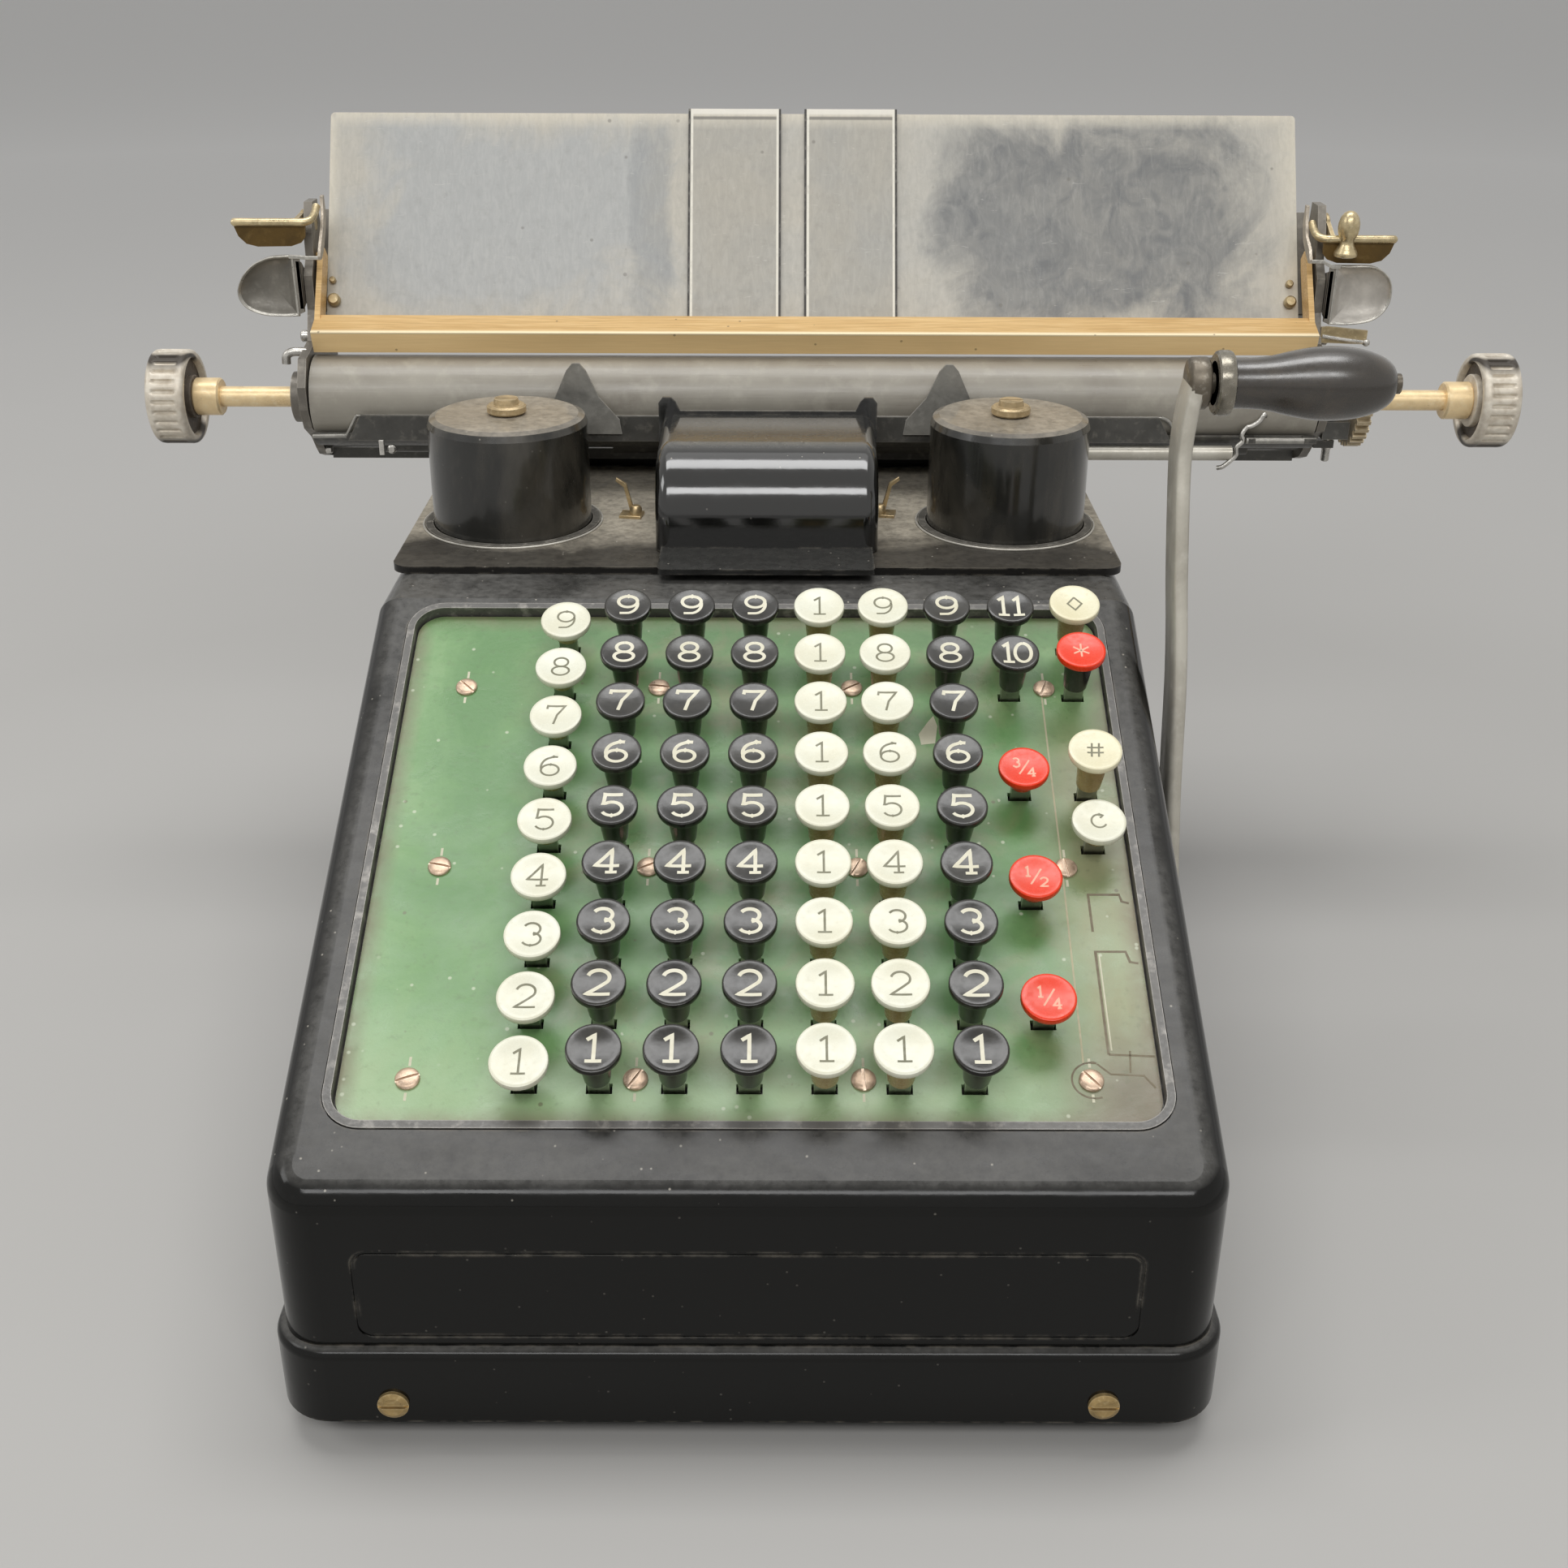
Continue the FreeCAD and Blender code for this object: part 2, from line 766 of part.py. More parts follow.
for side in (-1, 1):
    openings.rod("Y", d.screw_shank + d.screw_gap, d.case_wall + 4,
                 (side * lug_x, -flare_y - 2, d.case_screw_height))
    openings.rod("Y", d.screw_shank + d.screw_gap, d.case_wall + 4,
                 (side * lug_x, flare_y - d.case_wall - 2, d.case_screw_height))
cover_screw_x = window_half + d.rear_cover_lap / 2
cover_screw_rows = [d.rear_window_low + 5, d.rear_window_high - 5]
for side in (-1, 1):
    for height in cover_screw_rows:
        openings.rod("Y", d.screw_shank + d.screw_gap, d.case_wall + 4,
                     (side * cover_screw_x, case_back - d.case_wall - 2, height))

keyboard_hole = Piece("keyboard_opening", keep=False)
hole_grow = d.trim_gap + d.trim_width + d.opening_gap
keyboard_hole.pad("Z", [Rounded(-plate_half - hole_grow, -hole_grow, plate_half + hole_grow,
                                d.plate_length + hole_grow, d.plate_corner + hole_grow)],
                  d.bezel_rise + 4, (0, 0, -2))
on_board(keyboard_hole)

shell_outside = join("case_outside", case_form("case_outer", as_size(0)),
                     skirt_form("skirt_outer", as_size(0)))
shell_inside = join("case_inside", case_form("case_inner", d.case_wall),
                    skirt_form("skirt_inner", d.case_wall),
                    openings, keyboard_hole)
difference("body_shell", shell_outside, shell_inside)

# rear_cover: a plate over the window in the back of the case

cover_plate = Piece("rear_cover")
cover_half = window_half + d.rear_cover_lap
cover_plate.pad("Y", [Rounded(-cover_half, d.rear_window_low - d.rear_cover_lap, cover_half,
                              d.rear_window_high + d.rear_cover_lap, 8)], d.rear_cover_thick,
                (0, case_back, 0))
for side in (-1, 1):
    for height in cover_screw_rows:
        cover_plate.drill("Y", d.screw_shank + d.screw_gap, d.rear_cover_thick,
                          (side * cover_screw_x, case_back, height))

# case_screws: slotted screws in the skirt, front and back, and in the rear cover

screws = Piece("case_screws")
for face, side_y, heights, spread in (
        (-flare_y, -1, [d.case_screw_height], lug_x),
        (flare_y, 1, [d.case_screw_height], lug_x),
        (case_back + d.rear_cover_thick, 1, cover_screw_rows, cover_screw_x)):
    for side in (-1, 1):
        for height in heights:
            spot = (side * spread, face, height)
            screws.turn("Y", [(-side_y * d.case_screw_length, 0),
                              (-side_y * d.case_screw_length, d.screw_shank),
                              (0, d.screw_shank), (0, d.case_screw_head),
                              (side_y * d.screw_head_height * 0.6, d.case_screw_head),
                              (side_y * d.screw_head_height, d.case_screw_head * 0.7),
                              (side_y * d.screw_head_height, 0)], spot)
            outer_face = face + side_y * (d.screw_head_height + 1)
            slot_face = outer_face if side_y < 0 else face + d.screw_head_height / 2
            screws.cut("Y", [rectangle(side * spread - d.case_screw_head, height - d.screw_slot / 2,
                                       side * spread + d.case_screw_head, height + d.screw_slot / 2)],
                       1 + d.screw_head_height / 2, (0, slot_face, 0))

# keyboard_plate: the sloping plate with a slot for every key

column = [(k - 3) * d.column_pitch for k in range(9)]
line = [d.first_row + k * d.row_pitch for k in range(9)]
slot_x = d.stem_width / 2 + d.slot_gap
slot_y = d.stem_thick / 2 + d.slot_gap
top_plate = Piece("keyboard_plate")
top_plate.pad("Z", [Rounded(-plate_half, 0, plate_half, d.plate_length, d.plate_corner)], d.plate_thick,
              (0, 0, -d.plate_thick))


def stem_slots(plate, thick, low):
    """The slots of the whole keyboard, cut through a plate."""

    def slot(u, v):
        return rectangle(u - slot_x, v - slot_y, u + slot_x, v + slot_y)

    right_side = [slot(column[7], line[k]) for k in (1, 3, 5, 7, 8)]
    right_side += [slot(column[8], line[k]) for k in (4, 5, 7, 8)]
    plate.cut("Z", right_side, thick, (0, 0, low))
    first = plate.cut("Z", [slot(column[0], line[0])], thick, (0, 0, low))
    plate.grid([first], ("X", d.column_pitch, 7), ("Y", d.row_pitch, 9))


stem_slots(top_plate, d.plate_thick, -d.plate_thick)
screw_hole = top_plate.drill("Z", d.plate_screw_shank + d.screw_gap, d.plate_thick,
                             (screw_columns[0], screw_rows[0], -d.plate_thick))
top_plate.grid([screw_hole], ("X", d.plate_screw_spread_x, 4), ("Y", d.plate_screw_spread_y, 3))
on_board(top_plate)

# keyboard_trim_ring: the light band round the plate, held under the case by a ledge

trim = Piece("keyboard_trim_ring")


def board_frame(grow_in, grow_out, low, height):
    """A band round the keyboard plate between two outlines."""
    bands = [Rounded(-plate_half - grow, -grow, plate_half + grow, d.plate_length + grow,
                     d.plate_corner + grow)
             for grow in (grow_out, grow_in)]
    trim.pad("Z", bands, height, (0, 0, low))


board_frame(d.trim_gap, d.trim_gap + d.trim_width, -d.plate_thick,
            d.plate_thick + d.bezel_rise + d.trim_proud)
board_frame(-d.trim_ledge, d.trim_gap + d.trim_width, -2 * d.plate_thick, d.plate_thick)
board_frame(d.trim_gap, d.trim_gap + d.trim_width + 1.5, -d.plate_thick,
            d.plate_thick + d.bezel_rise - d.case_wall)
on_board(trim)

# plate_screws: twelve slotted screws through the plate into the posts below it

small_screws = Piece("plate_screws")
small = small_screws.turn("Z", [(-8, 0), (-8, d.plate_screw_shank), (0, d.plate_screw_shank),
                                (0, d.plate_screw_head), (0.6, d.plate_screw_head),
                                (1.2, d.plate_screw_head * 0.7), (1.2, 0)],
                          (screw_columns[0], screw_rows[0], 0))
small_slot = small_screws.cut("Z", [rectangle(screw_columns[0] - 0.4, screw_rows[0] - d.plate_screw_head,
                                              screw_columns[0] + 0.4, screw_rows[0] + d.plate_screw_head)],
                              1, (0, 0, 0.6))
small_screws.grid([small, small_slot], ("X", d.plate_screw_spread_x, 4), ("Y", d.plate_screw_spread_y, 3))
on_board(small_screws)

# key_guide_plate: the lower plate that steadies the stems, hung from the upper one on posts

lower = Piece("key_guide_plate")
lower.pad("Z", [Rounded(-plate_half + 1.5, 1, plate_half - 1.5, d.plate_length - 1, 6)], d.guide_thick,
          (0, 0, -d.guide_drop - d.guide_thick))
stem_slots(lower, d.guide_thick, -d.guide_drop - d.guide_thick)
post = lower.pad("Z", [Circle(0, 0, d.post_radius)], d.guide_drop - d.plate_thick,
                 (screw_columns[0], screw_rows[0], -d.guide_drop))
lower.grid([post], ("X", d.plate_screw_spread_x, 4), ("Y", d.plate_screw_spread_y, 3))
bore = lower.drill("Z", d.plate_screw_shank + d.screw_gap, 9,
                   (screw_columns[0], screw_rows[0], -d.plate_thick - 9))
lower.grid([bore], ("X", d.plate_screw_spread_x, 4), ("Y", d.plate_screw_spread_y, 3))
on_board(lower)

# the keys: a crowned disc on a neck and a flat stem


def key_features(bank, u, v, radius, height):
    low = d.key_travel + d.neck_margin
    under = height - d.cap_rim
    profile = [(low, 0), (low, d.neck_foot_radius), (under - d.cap_cone, d.neck_radius),
               (under - d.cap_cone / 3, radius * 0.8), (under, radius - 0.5), (under + 0.5, radius),
               (height - 0.6, radius), (height - 0.1, radius - 0.6), (height, radius - 1.3),
               (height - d.cap_crown, radius - 2.6), (height - d.cap_crown, 0)]
    cap = bank.turn("Z", profile, (u, v, 0))
    stem = bank.pad("Z", [rectangle(u - d.stem_width / 2, v - d.stem_thick / 2,
                                    u + d.stem_width / 2, v + d.stem_thick / 2)],
                    d.stem_tail + low + 1, (0, 0, -d.stem_tail))
    return [cap, stem]


def key_column(label, index, radius, height):
    bank = Piece(label)
    bank.row(key_features(bank, column[index], line[0], radius, height), "Y", d.row_pitch, 9)
    on_board(bank)
    return bank


def single_key(label, u, v, radius, height):
    bank = Piece(label)
    key_features(bank, u, v, radius, height)
    on_board(bank)
    return bank


key_column("pound_thousand_keys", 0, d.white_cap_radius, d.low_key_height)
key_column("pound_hundred_keys", 1, d.black_cap_radius, d.key_height)
key_column("pound_ten_keys", 2, d.black_cap_radius, d.key_height)
key_column("pound_unit_keys", 3, d.black_cap_radius, d.key_height)
key_column("ten_shilling_keys", 4, d.white_cap_radius, d.key_height)
key_column("shilling_keys", 5, d.white_cap_radius, d.key_height)
pence = Piece("pence_keys")
high_pence = key_features(pence, column[7], line[7], d.black_cap_radius, d.key_height)
pence.row(high_pence, "Y", d.row_pitch, 2)
low_pence = key_features(pence, column[6], line[0], d.black_cap_radius, d.key_height)
pence.row(low_pence, "Y", d.row_pitch, 9)
on_board(pence)
farthings = Piece("farthing_keys")
farthings.row(key_features(farthings, column[7], line[1], d.red_cap_radius, d.low_key_height),
              "Y", 2 * d.row_pitch, 3)
on_board(farthings)
single_key("sub_total_key", column[8], line[8], d.white_cap_radius, d.total_key_height)
single_key("total_key", column[8], line[7], d.red_cap_radius, d.total_key_height)
single_key("non_add_key", column[8], line[5], d.white_cap_radius, d.total_key_height)
single_key("repeat_key", column[8], line[4], d.white_cap_radius, d.low_key_height)

# deck_plate: the raised plate behind the keyboard

deck = Piece("deck_plate")
deck_half = case_half - d.deck_inset
deck.pad("Z", [Rounded(-deck_half, d.deck_front, deck_half, case_back - 3, 6)], d.deck_thick,
         (0, 0, d.shelf_height))
deck.cut("Z", [print_window], d.deck_thick, (0, 0, d.shelf_height))
cup_outer = cup_inner + 1.2
for side in (-1, 1):
    deck.drill("Z", cup_outer + d.screw_gap, d.deck_thick, (side * cover_x, d.cover_y, d.shelf_height))

# ribbon_cups: a dished seat and a spindle for each ribbon spool

cups = Piece("ribbon_cups")
cup_top = deck_top + 0.8
nut_low = cover_low + d.cover_height + 0.3
for side in (-1, 1):
    cups.turn("Z", [(d.shelf_height, 0), (d.shelf_height, cup_outer), (deck_top, cup_outer),
                    (deck_top, d.cup_radius), (cup_top, d.cup_radius), (cup_top, cup_inner),
                    (d.shelf_height + d.cup_floor, cup_inner), (d.shelf_height + d.cup_floor, 6),
                    (deck_top + d.spool_lift / 8, 6), (deck_top + d.spool_lift / 8, d.spindle_radius),
                    (nut_low + 2, d.spindle_radius), (nut_low + 2, 0)],
              (side * cover_x, d.cover_y, 0))


# the ribbon covers, their nuts and the spools inside them


def ribbon_side(word, x):
    top = cover_low + d.cover_height
    cover = Piece(word + "_ribbon_cover")
    edge = d.cover_edge_round
    outer = d.cover_radius
    inner = outer - d.cover_wall
    hole = d.spindle_radius + d.spindle_gap
    cover.turn("Z", [(cover_low, inner), (cover_low, outer), (top - edge, outer),
                     (top - edge * 0.29, outer - edge * 0.29), (top, outer - edge),
                     (top, hole), (top - d.cover_wall, hole), (top - d.cover_wall, inner - edge),
                     (top - d.cover_wall - edge * 0.29, inner - edge * 0.29),
                     (top - d.cover_wall - edge, inner)],
               (x, d.cover_y, 0))
    nut = Piece(word + "_cover_nut")
    wide = d.cover_nut_radius
    nut.turn("Z", [(nut_low, hole), (nut_low, wide * 0.9), (nut_low + 0.6, wide), (nut_low + 2.4, wide),
                   (nut_low + 3, wide * 0.9), (nut_low + 3, wide * 0.66),
                   (nut_low + d.cover_nut_height, wide * 0.6),
                   (nut_low + d.cover_nut_height, 0), (nut_low + 2.4, 0), (nut_low + 2.4, hole)],
             (x, d.cover_y, 0))
    nut.cut("Z", [rectangle(x - wide, d.cover_y - 0.5, x + wide, d.cover_y + 0.5)], 1.2,
            (0, 0, nut_low + d.cover_nut_height - 1.2))
    spool = Piece(word + "_ribbon_spool")
    low = deck_top + d.spool_lift / 8 + 0.4
    rim = d.spool_radius
    high = low + d.spool_height
    spool.turn("Z", [(low, hole), (low, rim), (low + d.spool_flange, rim),
                     (low + d.spool_flange, d.spool_core),
                     (high - d.spool_flange, d.spool_core), (high - d.spool_flange, rim), (high, rim),
                     (high, hole)], (x, d.cover_y, 0))


ribbon_side("left", -cover_x)
ribbon_side("right", cover_x)


# type_cover: the hood over the printing line


def hood_form(label, inset):
    form = Piece(label, keep=False)
    low = deck_top + d.rail_gap - inset
    high = d.hood_top - inset
    front = d.hood_front + inset
    form.pad("X", [rectangle(front, low, d.hood_back + inset, high)], d.hood_width - 2 * inset,
             (d.hood_x - hood_half + inset, 0, 0))
    form.round(d.hood_round - inset, along("X", lambda middle: near(middle.y, front)
                                           and near(middle.z, high)))
    form.round(d.hood_side_round - inset, lambda edge: edge.BoundBox.XLength < 0.01
               and edge.CenterOfMass.y < d.hood_back.value - 1 and edge.CenterOfMass.z > low.value + 1)
    return form


lip = Piece("hood_edges", keep=False)
lip_low = deck_top + d.rail_gap
lip.pad("Z", [Rounded(d.hood_x - hood_half + 2, d.hood_front - d.hood_lip, d.hood_x + hood_half - 2,
                      d.hood_front + 4, 2)], d.hood_lip_thick, (0, 0, lip_low))
ear_out = hood_half + d.hood_ear_reach
ear_in = ear_out - d.hood_ear_width
ear_top = d.hood_top + d.hood_ear_rise
flange_top = d.hood_top + d.hood_flange_rise
lip.pad("Y", [[(-ear_out, lip_low), (ear_out, lip_low), (ear_out, ear_top - 2), (ear_out - 1.5, ear_top),
               (ear_in + 1.5, ear_top), (ear_in, ear_top - 1.5), (ear_in - 1.5, flange_top),
               (-ear_in + 1.5, flange_top), (-ear_in, ear_top - 1.5), (-ear_in - 1.5, ear_top),
               (-ear_out + 1.5, ear_top), (-ear_out, ear_top - 2)]], d.hood_wall, (d.hood_x, d.hood_back, 0))
hood_outside = join("hood_outside", hood_form("hood_outer", as_size(0)), lip)
hood_hollow = hood_form("hood_inner", d.hood_wall)
difference("type_cover", hood_outside, hood_hollow.body)

# paper_shield: the fixed sheet in front of the platen, on two legs

shield = Piece("paper_shield")
shield_half = d.shield_width / 2
shield.pad("Y", [[(-shield_half - 5, d.shield_low), (shield_half + 5, d.shield_low),
                  (shield_half, d.shield_top),
                  (-shield_half, d.shield_top)]], d.shield_thick, (0, d.shield_y, 0))
leg_half = d.shield_leg_width / 2
for side in (-1, 1):
    leg = (side * d.shield_leg_x, d.shield_y, 0)
    shield.pad("Y", [rectangle(-leg_half, deck_top, leg_half, d.shield_low)], d.shield_thick, leg)
    shield.pad("Y", [rectangle(-leg_half, deck_top, leg_half, deck_top + d.shield_thick)],
               d.shield_foot + d.shield_thick, (leg[0], d.shield_y - d.shield_foot, 0))
shield.cut("Y", [rectangle(-print_half, d.shield_low + 3, print_half, d.shield_top + 1)], d.shield_thick,
           (d.hood_x, d.shield_y, 0))

# card_fingers: two pointed fingers in front of the shield

fingers = Piece("card_fingers")
finger_half = d.finger_width / 2
finger_rise = d.finger_tip - d.finger_base
for side in (-1, 1):
    fingers.pad("Y", [[(-finger_half, d.finger_base), (finger_half, d.finger_base),
                       (finger_half * 0.95, d.finger_base + finger_rise * 0.2),
                       (finger_half * 0.5, d.finger_base + finger_rise * 0.52),
                       (finger_half * 0.22, d.finger_base + finger_rise * 0.9),
                       (finger_half * 0.08, d.finger_tip),
                       (-finger_half * 0.08, d.finger_tip),
                       (-finger_half * 0.22, d.finger_base + finger_rise * 0.9),
                       (-finger_half * 0.5, d.finger_base + finger_rise * 0.52),
                       (-finger_half * 0.95, d.finger_base + finger_rise * 0.2)]],
                d.shield_thick, (d.hood_x / 3 + side * d.finger_spread / 2, d.shield_y - d.shield_thick, 0))

# carriage_rails: two bars along the deck

rails = Piece("carriage_rails")
rail_half = d.rail_length / 2
for start in (d.front_rail_y, d.rear_rail_y):
    rails.pad("Z", [Rounded(-rail_half, start, rail_half, start + d.rail_width, 1)], d.rail_height,
              (0, 0, deck_top))

# side_frames: two plates that carry the mechanism inside the case

frames = Piece("side_frames")
frame_y, frame_z = board_point(0, -d.frame_drop)
frame_top_y = frame_y + (d.frame_top - frame_z) * cosine / sine
tie_spots = [(-125, 22), (-60, 34), (95, 30), (150, 30), (150, 145)]
heel_y = pan_half_y - d.pan_corner - 0.5
heel_z = d.foot_height + d.pan_height + 1
frame_outline = [(frame_y, pan_floor), (heel_y, pan_floor), (heel_y, heel_z), (d.frame_back, heel_z),
                 (d.frame_back, d.frame_top), (frame_top_y, d.frame_top), (frame_y, frame_z)]
for start in (-frame_half - d.frame_thick, frame_half):
    frames.pad("X", [frame_outline, Circle(d.crank_y, d.crank_z, d.drive_shaft_radius + d.running_gap),
                     Circle(d.wheel_y, d.wheel_z, d.wheel_shaft_radius + d.running_gap),
                     Circle(20, 40, 18), Circle(115, 90, 20), Circle(-80, 62, 9)]
               + [Circle(y, z, d.tie_radius + d.running_gap) for y, z in tie_spots],
               d.frame_thick, (start, 0, 0))

# tie_rods: rods between the side frames, and the short rod beside the platen

ties = Piece("tie_rods")
for y, z in tie_spots:
    ties.rod("X", d.tie_radius, d.frame_span + 2 * d.frame_thick, (-frame_half - d.frame_thick, y, z))
ties.rod("X", d.guide_rod_radius, d.guide_rod_end - d.guide_rod_post,
         (d.guide_rod_post, d.guide_rod_y, d.guide_rod_z))
ties.pad("Z", [rectangle(d.guide_rod_post - 2, d.guide_rod_y - 2.4, d.guide_rod_post + 2,
                         d.guide_rod_y + 2.4)],
         d.guide_rod_z + 2 - deck_top, (0, 0, deck_top))

# type_bar_guide: two slotted bars that steady the type bars

comb = Piece("type_bar_guide")
bar_mid = d.type_bar_y + d.type_bar_depth / 2
bar_first = d.hood_x - (d.type_bars - 1) / 2 * d.type_bar_pitch
comb_blocks = [comb.pad("Z", [rectangle(-frame_half, bar_mid - 7, frame_half, bar_mid + 7)], 4, (0, 0, low))
               for low in (116, 142)]
comb_slot = comb.cut("Z", [rectangle(bar_first - d.type_bar_width / 2 - 0.4, d.type_bar_y - 0.4,
                                     bar_first + d.type_bar_width / 2 + 0.4,
                                     d.type_bar_y + d.type_bar_depth + 0.4)], 40, (0, 0, 110))
comb.row([comb_slot], "X", d.type_bar_pitch, d.type_bars)

# type_bars: nine upright bars, each with a row of type at its top

bars = Piece("type_bars")
bar = bars.pad("Z", [rectangle(bar_first - d.type_bar_width / 2, d.type_bar_y,
                               bar_first + d.type_bar_width / 2,
                               d.type_bar_y + d.type_bar_depth)], d.type_bar_high - d.type_bar_low,
               (0, 0, d.type_bar_low))
bars.row([bar], "X", d.type_bar_pitch, d.type_bars)


def gear_outline(y, z, radius, root, teeth, fraction):
    """A toothed outline about a point."""
    points = []
    for k in range(teeth):
        for share, reach in ((0, root), (fraction, radius), (0.5, radius), (0.5 + fraction, root)):
            angle = 360.0 * (k + share) / teeth
            points.append((y + reach * cos_of(angle), z + reach * sin_of(angle)))
    return points


# adding_wheels: nine ten-toothed wheels on their shaft

wheels = Piece("adding_wheels")
wheels.rod("X", d.wheel_shaft_radius, d.frame_span + 2 * d.frame_thick,
           (-frame_half - d.frame_thick, d.wheel_y, d.wheel_z))
toothed = wheels.pad("X", [gear_outline(d.wheel_y, d.wheel_z, d.wheel_radius, d.wheel_radius * 0.8,
                                       int(d.wheel_teeth.value), 0.15)],
                     d.wheel_width, (bar_first - d.wheel_width / 2, 0, 0))
wheels.row([toothed], "X", d.type_bar_pitch, d.type_bars)

# drive_shaft: the crank's shaft with its two cams

shaft = Piece("drive_shaft")
hub_start = case_half + d.bush_flange_thick + d.hub_gap
shaft_start = -frame_half - d.frame_thick - 3
shaft.rod("X", d.drive_shaft_radius, hub_start + d.hub_length - shaft_start,
          (shaft_start, d.crank_y, d.crank_z))
for side in (-1, 1):
    shaft.pad("X", [Circle(0, d.cam_throw, d.cam_radius - d.cam_throw)], d.cam_width,
              (side * d.cam_spread / 2 - d.cam_width / 2, d.crank_y, d.crank_z))

# crank_bushing: the flanged bearing in the side of the case

bushing = Piece("crank_bushing")
bush_start = frame_half + d.frame_thick
bush_bore = d.drive_shaft_radius + d.running_gap
bushing.turn("X", [(bush_start, bush_bore), (bush_start, d.bush_radius), (case_half, d.bush_radius),
                   (case_half, d.bush_flange), (case_half + d.bush_flange_thick - 0.6, d.bush_flange),
                   (case_half + d.bush_flange_thick, d.bush_flange - 0.6),
                   (case_half + d.bush_flange_thick, bush_bore)], (0, d.crank_y, d.crank_z))

# crank_arm: the flat bar on its hub, with the pin that carries the grip

arm = Piece("crank_arm")
arm_start = hub_start + d.hub_length
half_arm = d.arm_width / 2
centre_line = [(d.crank_y, d.crank_z), (d.elbow_y, d.elbow_z), (d.knee_y, d.knee_z), (d.grip_y, d.grip_z)]
left_side = [(y - half_arm, z) for y, z in centre_line]
right_side = [(y + half_arm, z) for y, z in reversed(centre_line)]
arm.pad("X", [right_side + left_side], d.arm_thick, (arm_start, 0, 0))
arm.rod("X", d.hub_radius, d.hub_length + d.arm_thick, (hub_start, d.crank_y, d.crank_z))
arm.rod("X", half_arm, d.arm_thick, (arm_start, d.grip_y, d.grip_z))
arm_face = arm_start + d.arm_thick
pin_length = d.grip_start + d.grip_length
arm.rod("X", d.grip_pin_radius, pin_length + 1, (arm_face - 1, d.grip_y, d.grip_z))
arm.rod("X", d.grip_pin_radius + 1.6, 1.6, (arm_face + pin_length, d.grip_y, d.grip_z))
arm.drill("X", d.drive_shaft_radius + d.running_gap, d.hub_length, (hub_start, d.crank_y, d.crank_z))

# crank_grip: the turned handle on the pin

grip = Piece("crank_grip")
grip_bore = d.grip_pin_radius + d.grip_pin_gap
grip_shape = [(0.0, 0.62), (0.02, 0.68), (0.07, 0.69), (0.09, 0.66), (0.18, 0.67), (0.3, 0.75), (0.42, 0.87),
              (0.54, 0.97), (0.64, 1.0), (0.75, 0.98), (0.86, 0.88), (0.94, 0.7), (0.99, 0.48)]
grip.turn("X", [(0, grip_bore)] + [(d.grip_length * share - 0.3, d.grip_radius * width) if share > 0.9
                                   else (d.grip_length * share, d.grip_radius * width)
                                   for share, width in grip_shape] + [(d.grip_length * 0.99 - 0.3,
                                                                       grip_bore)],
          (arm_face + d.grip_start, d.grip_y, d.grip_z))

# carriage_bed: the sliding plate that hangs over both rails

bed = Piece("carriage_bed")
bed_front = d.front_rail_y - d.rail_gap - d.bed_flange
bed_back = d.rear_rail_y + d.rail_width + d.rail_gap + d.bed_flange
bed_length = right_end - left_end
flange_low = bed_low - d.bed_flange_drop
bed.pad("X", [[(bed_front, flange_low), (bed_front + d.bed_flange, flange_low),
               (bed_front + d.bed_flange, bed_low), (bed_back - d.bed_flange, bed_low),
               (bed_back - d.bed_flange, flange_low), (bed_back, flange_low),
               (bed_back, bed_top), (bed_front, bed_top)]], bed_length, (left_end, 0, 0))

# the end plates of the carriage, each with a bracket behind the paper table

table_sine = sin_of(d.table_lean)
table_cosine = cos_of(d.table_lean)


def table_point(up, back):
    """Y and Z of a point, from its way up the paper table and its distance behind the front face."""
    y = d.table_foot_y + up * table_sine + back * table_cosine
    z = d.table_foot_z + up * table_cosine - back * table_sine
    return y, z


roller_reach = d.platen_radius + d.roller_nip + d.roller_radius
roller_y = d.platen_y + roller_reach * cos_of(d.roller_angle)
roller_z = d.platen_z + roller_reach * sin_of(d.roller_angle)
end_outline = [(bed_front, bed_low), (bed_back + 2, bed_low), (bed_back + 4, 182), (172, 222),
               (166, d.end_plate_top), (158, d.end_plate_top), (153.2, 252), (152.4, 244), (147, 238),
               (147, 226), (142, 216), (126, 213), (120.4, 204), (120.4, 196), (124, 188.5), (133, 183),
               (138, 177.5), (141.5, 174.3)]
end_holes = [Circle(d.platen_y, d.platen_z, d.shaft_radius + d.running_gap),
             Circle(roller_y, roller_z, d.roller_spindle + d.running_gap),
             Circle(d.bail_pivot_y, d.bail_pivot_z, d.bail_pin_radius + d.running_gap),
             Circle(d.release_pivot_y + 3, d.release_pivot_z, d.lever_pin_radius + d.running_gap),
             Circle(d.spoon_pivot_y, d.spoon_pivot_z, d.lever_pin_radius + d.running_gap)]


def end_plate(label, start, boss_start, bracket_start, bracket_length):
    plate = Piece(label)
    plate.pad("X", [end_outline] + end_holes, d.end_plate_thick, (start, 0, 0))
    plate.pad("X", [Circle(0, 0, d.boss_radius), Circle(0, 0, d.shaft_radius + d.running_gap)], d.boss_length,
              (boss_start, d.platen_y, d.platen_z))
    strip = [table_point(8, d.table_thick), table_point(8, d.table_thick + 2),
             table_point(46, d.table_thick + 2), table_point(46, d.table_thick)]
    plate.pad("X", [strip], bracket_length, (bracket_start, 0, 0))
    return plate


table_left = d.table_x - d.table_width / 2
table_right = d.table_x + d.table_width / 2
end_plate("left_end_plate", left_end - d.end_plate_thick, left_end - d.end_plate_thick - d.boss_length,
          left_end,
          table_left + 4 - left_end)
end_plate("right_end_plate", right_end, right_end + d.end_plate_thick, table_right - 4,
          right_end - table_right + 4)

# paper_pan: the curved sheets under the platen, in front of the rollers and behind them

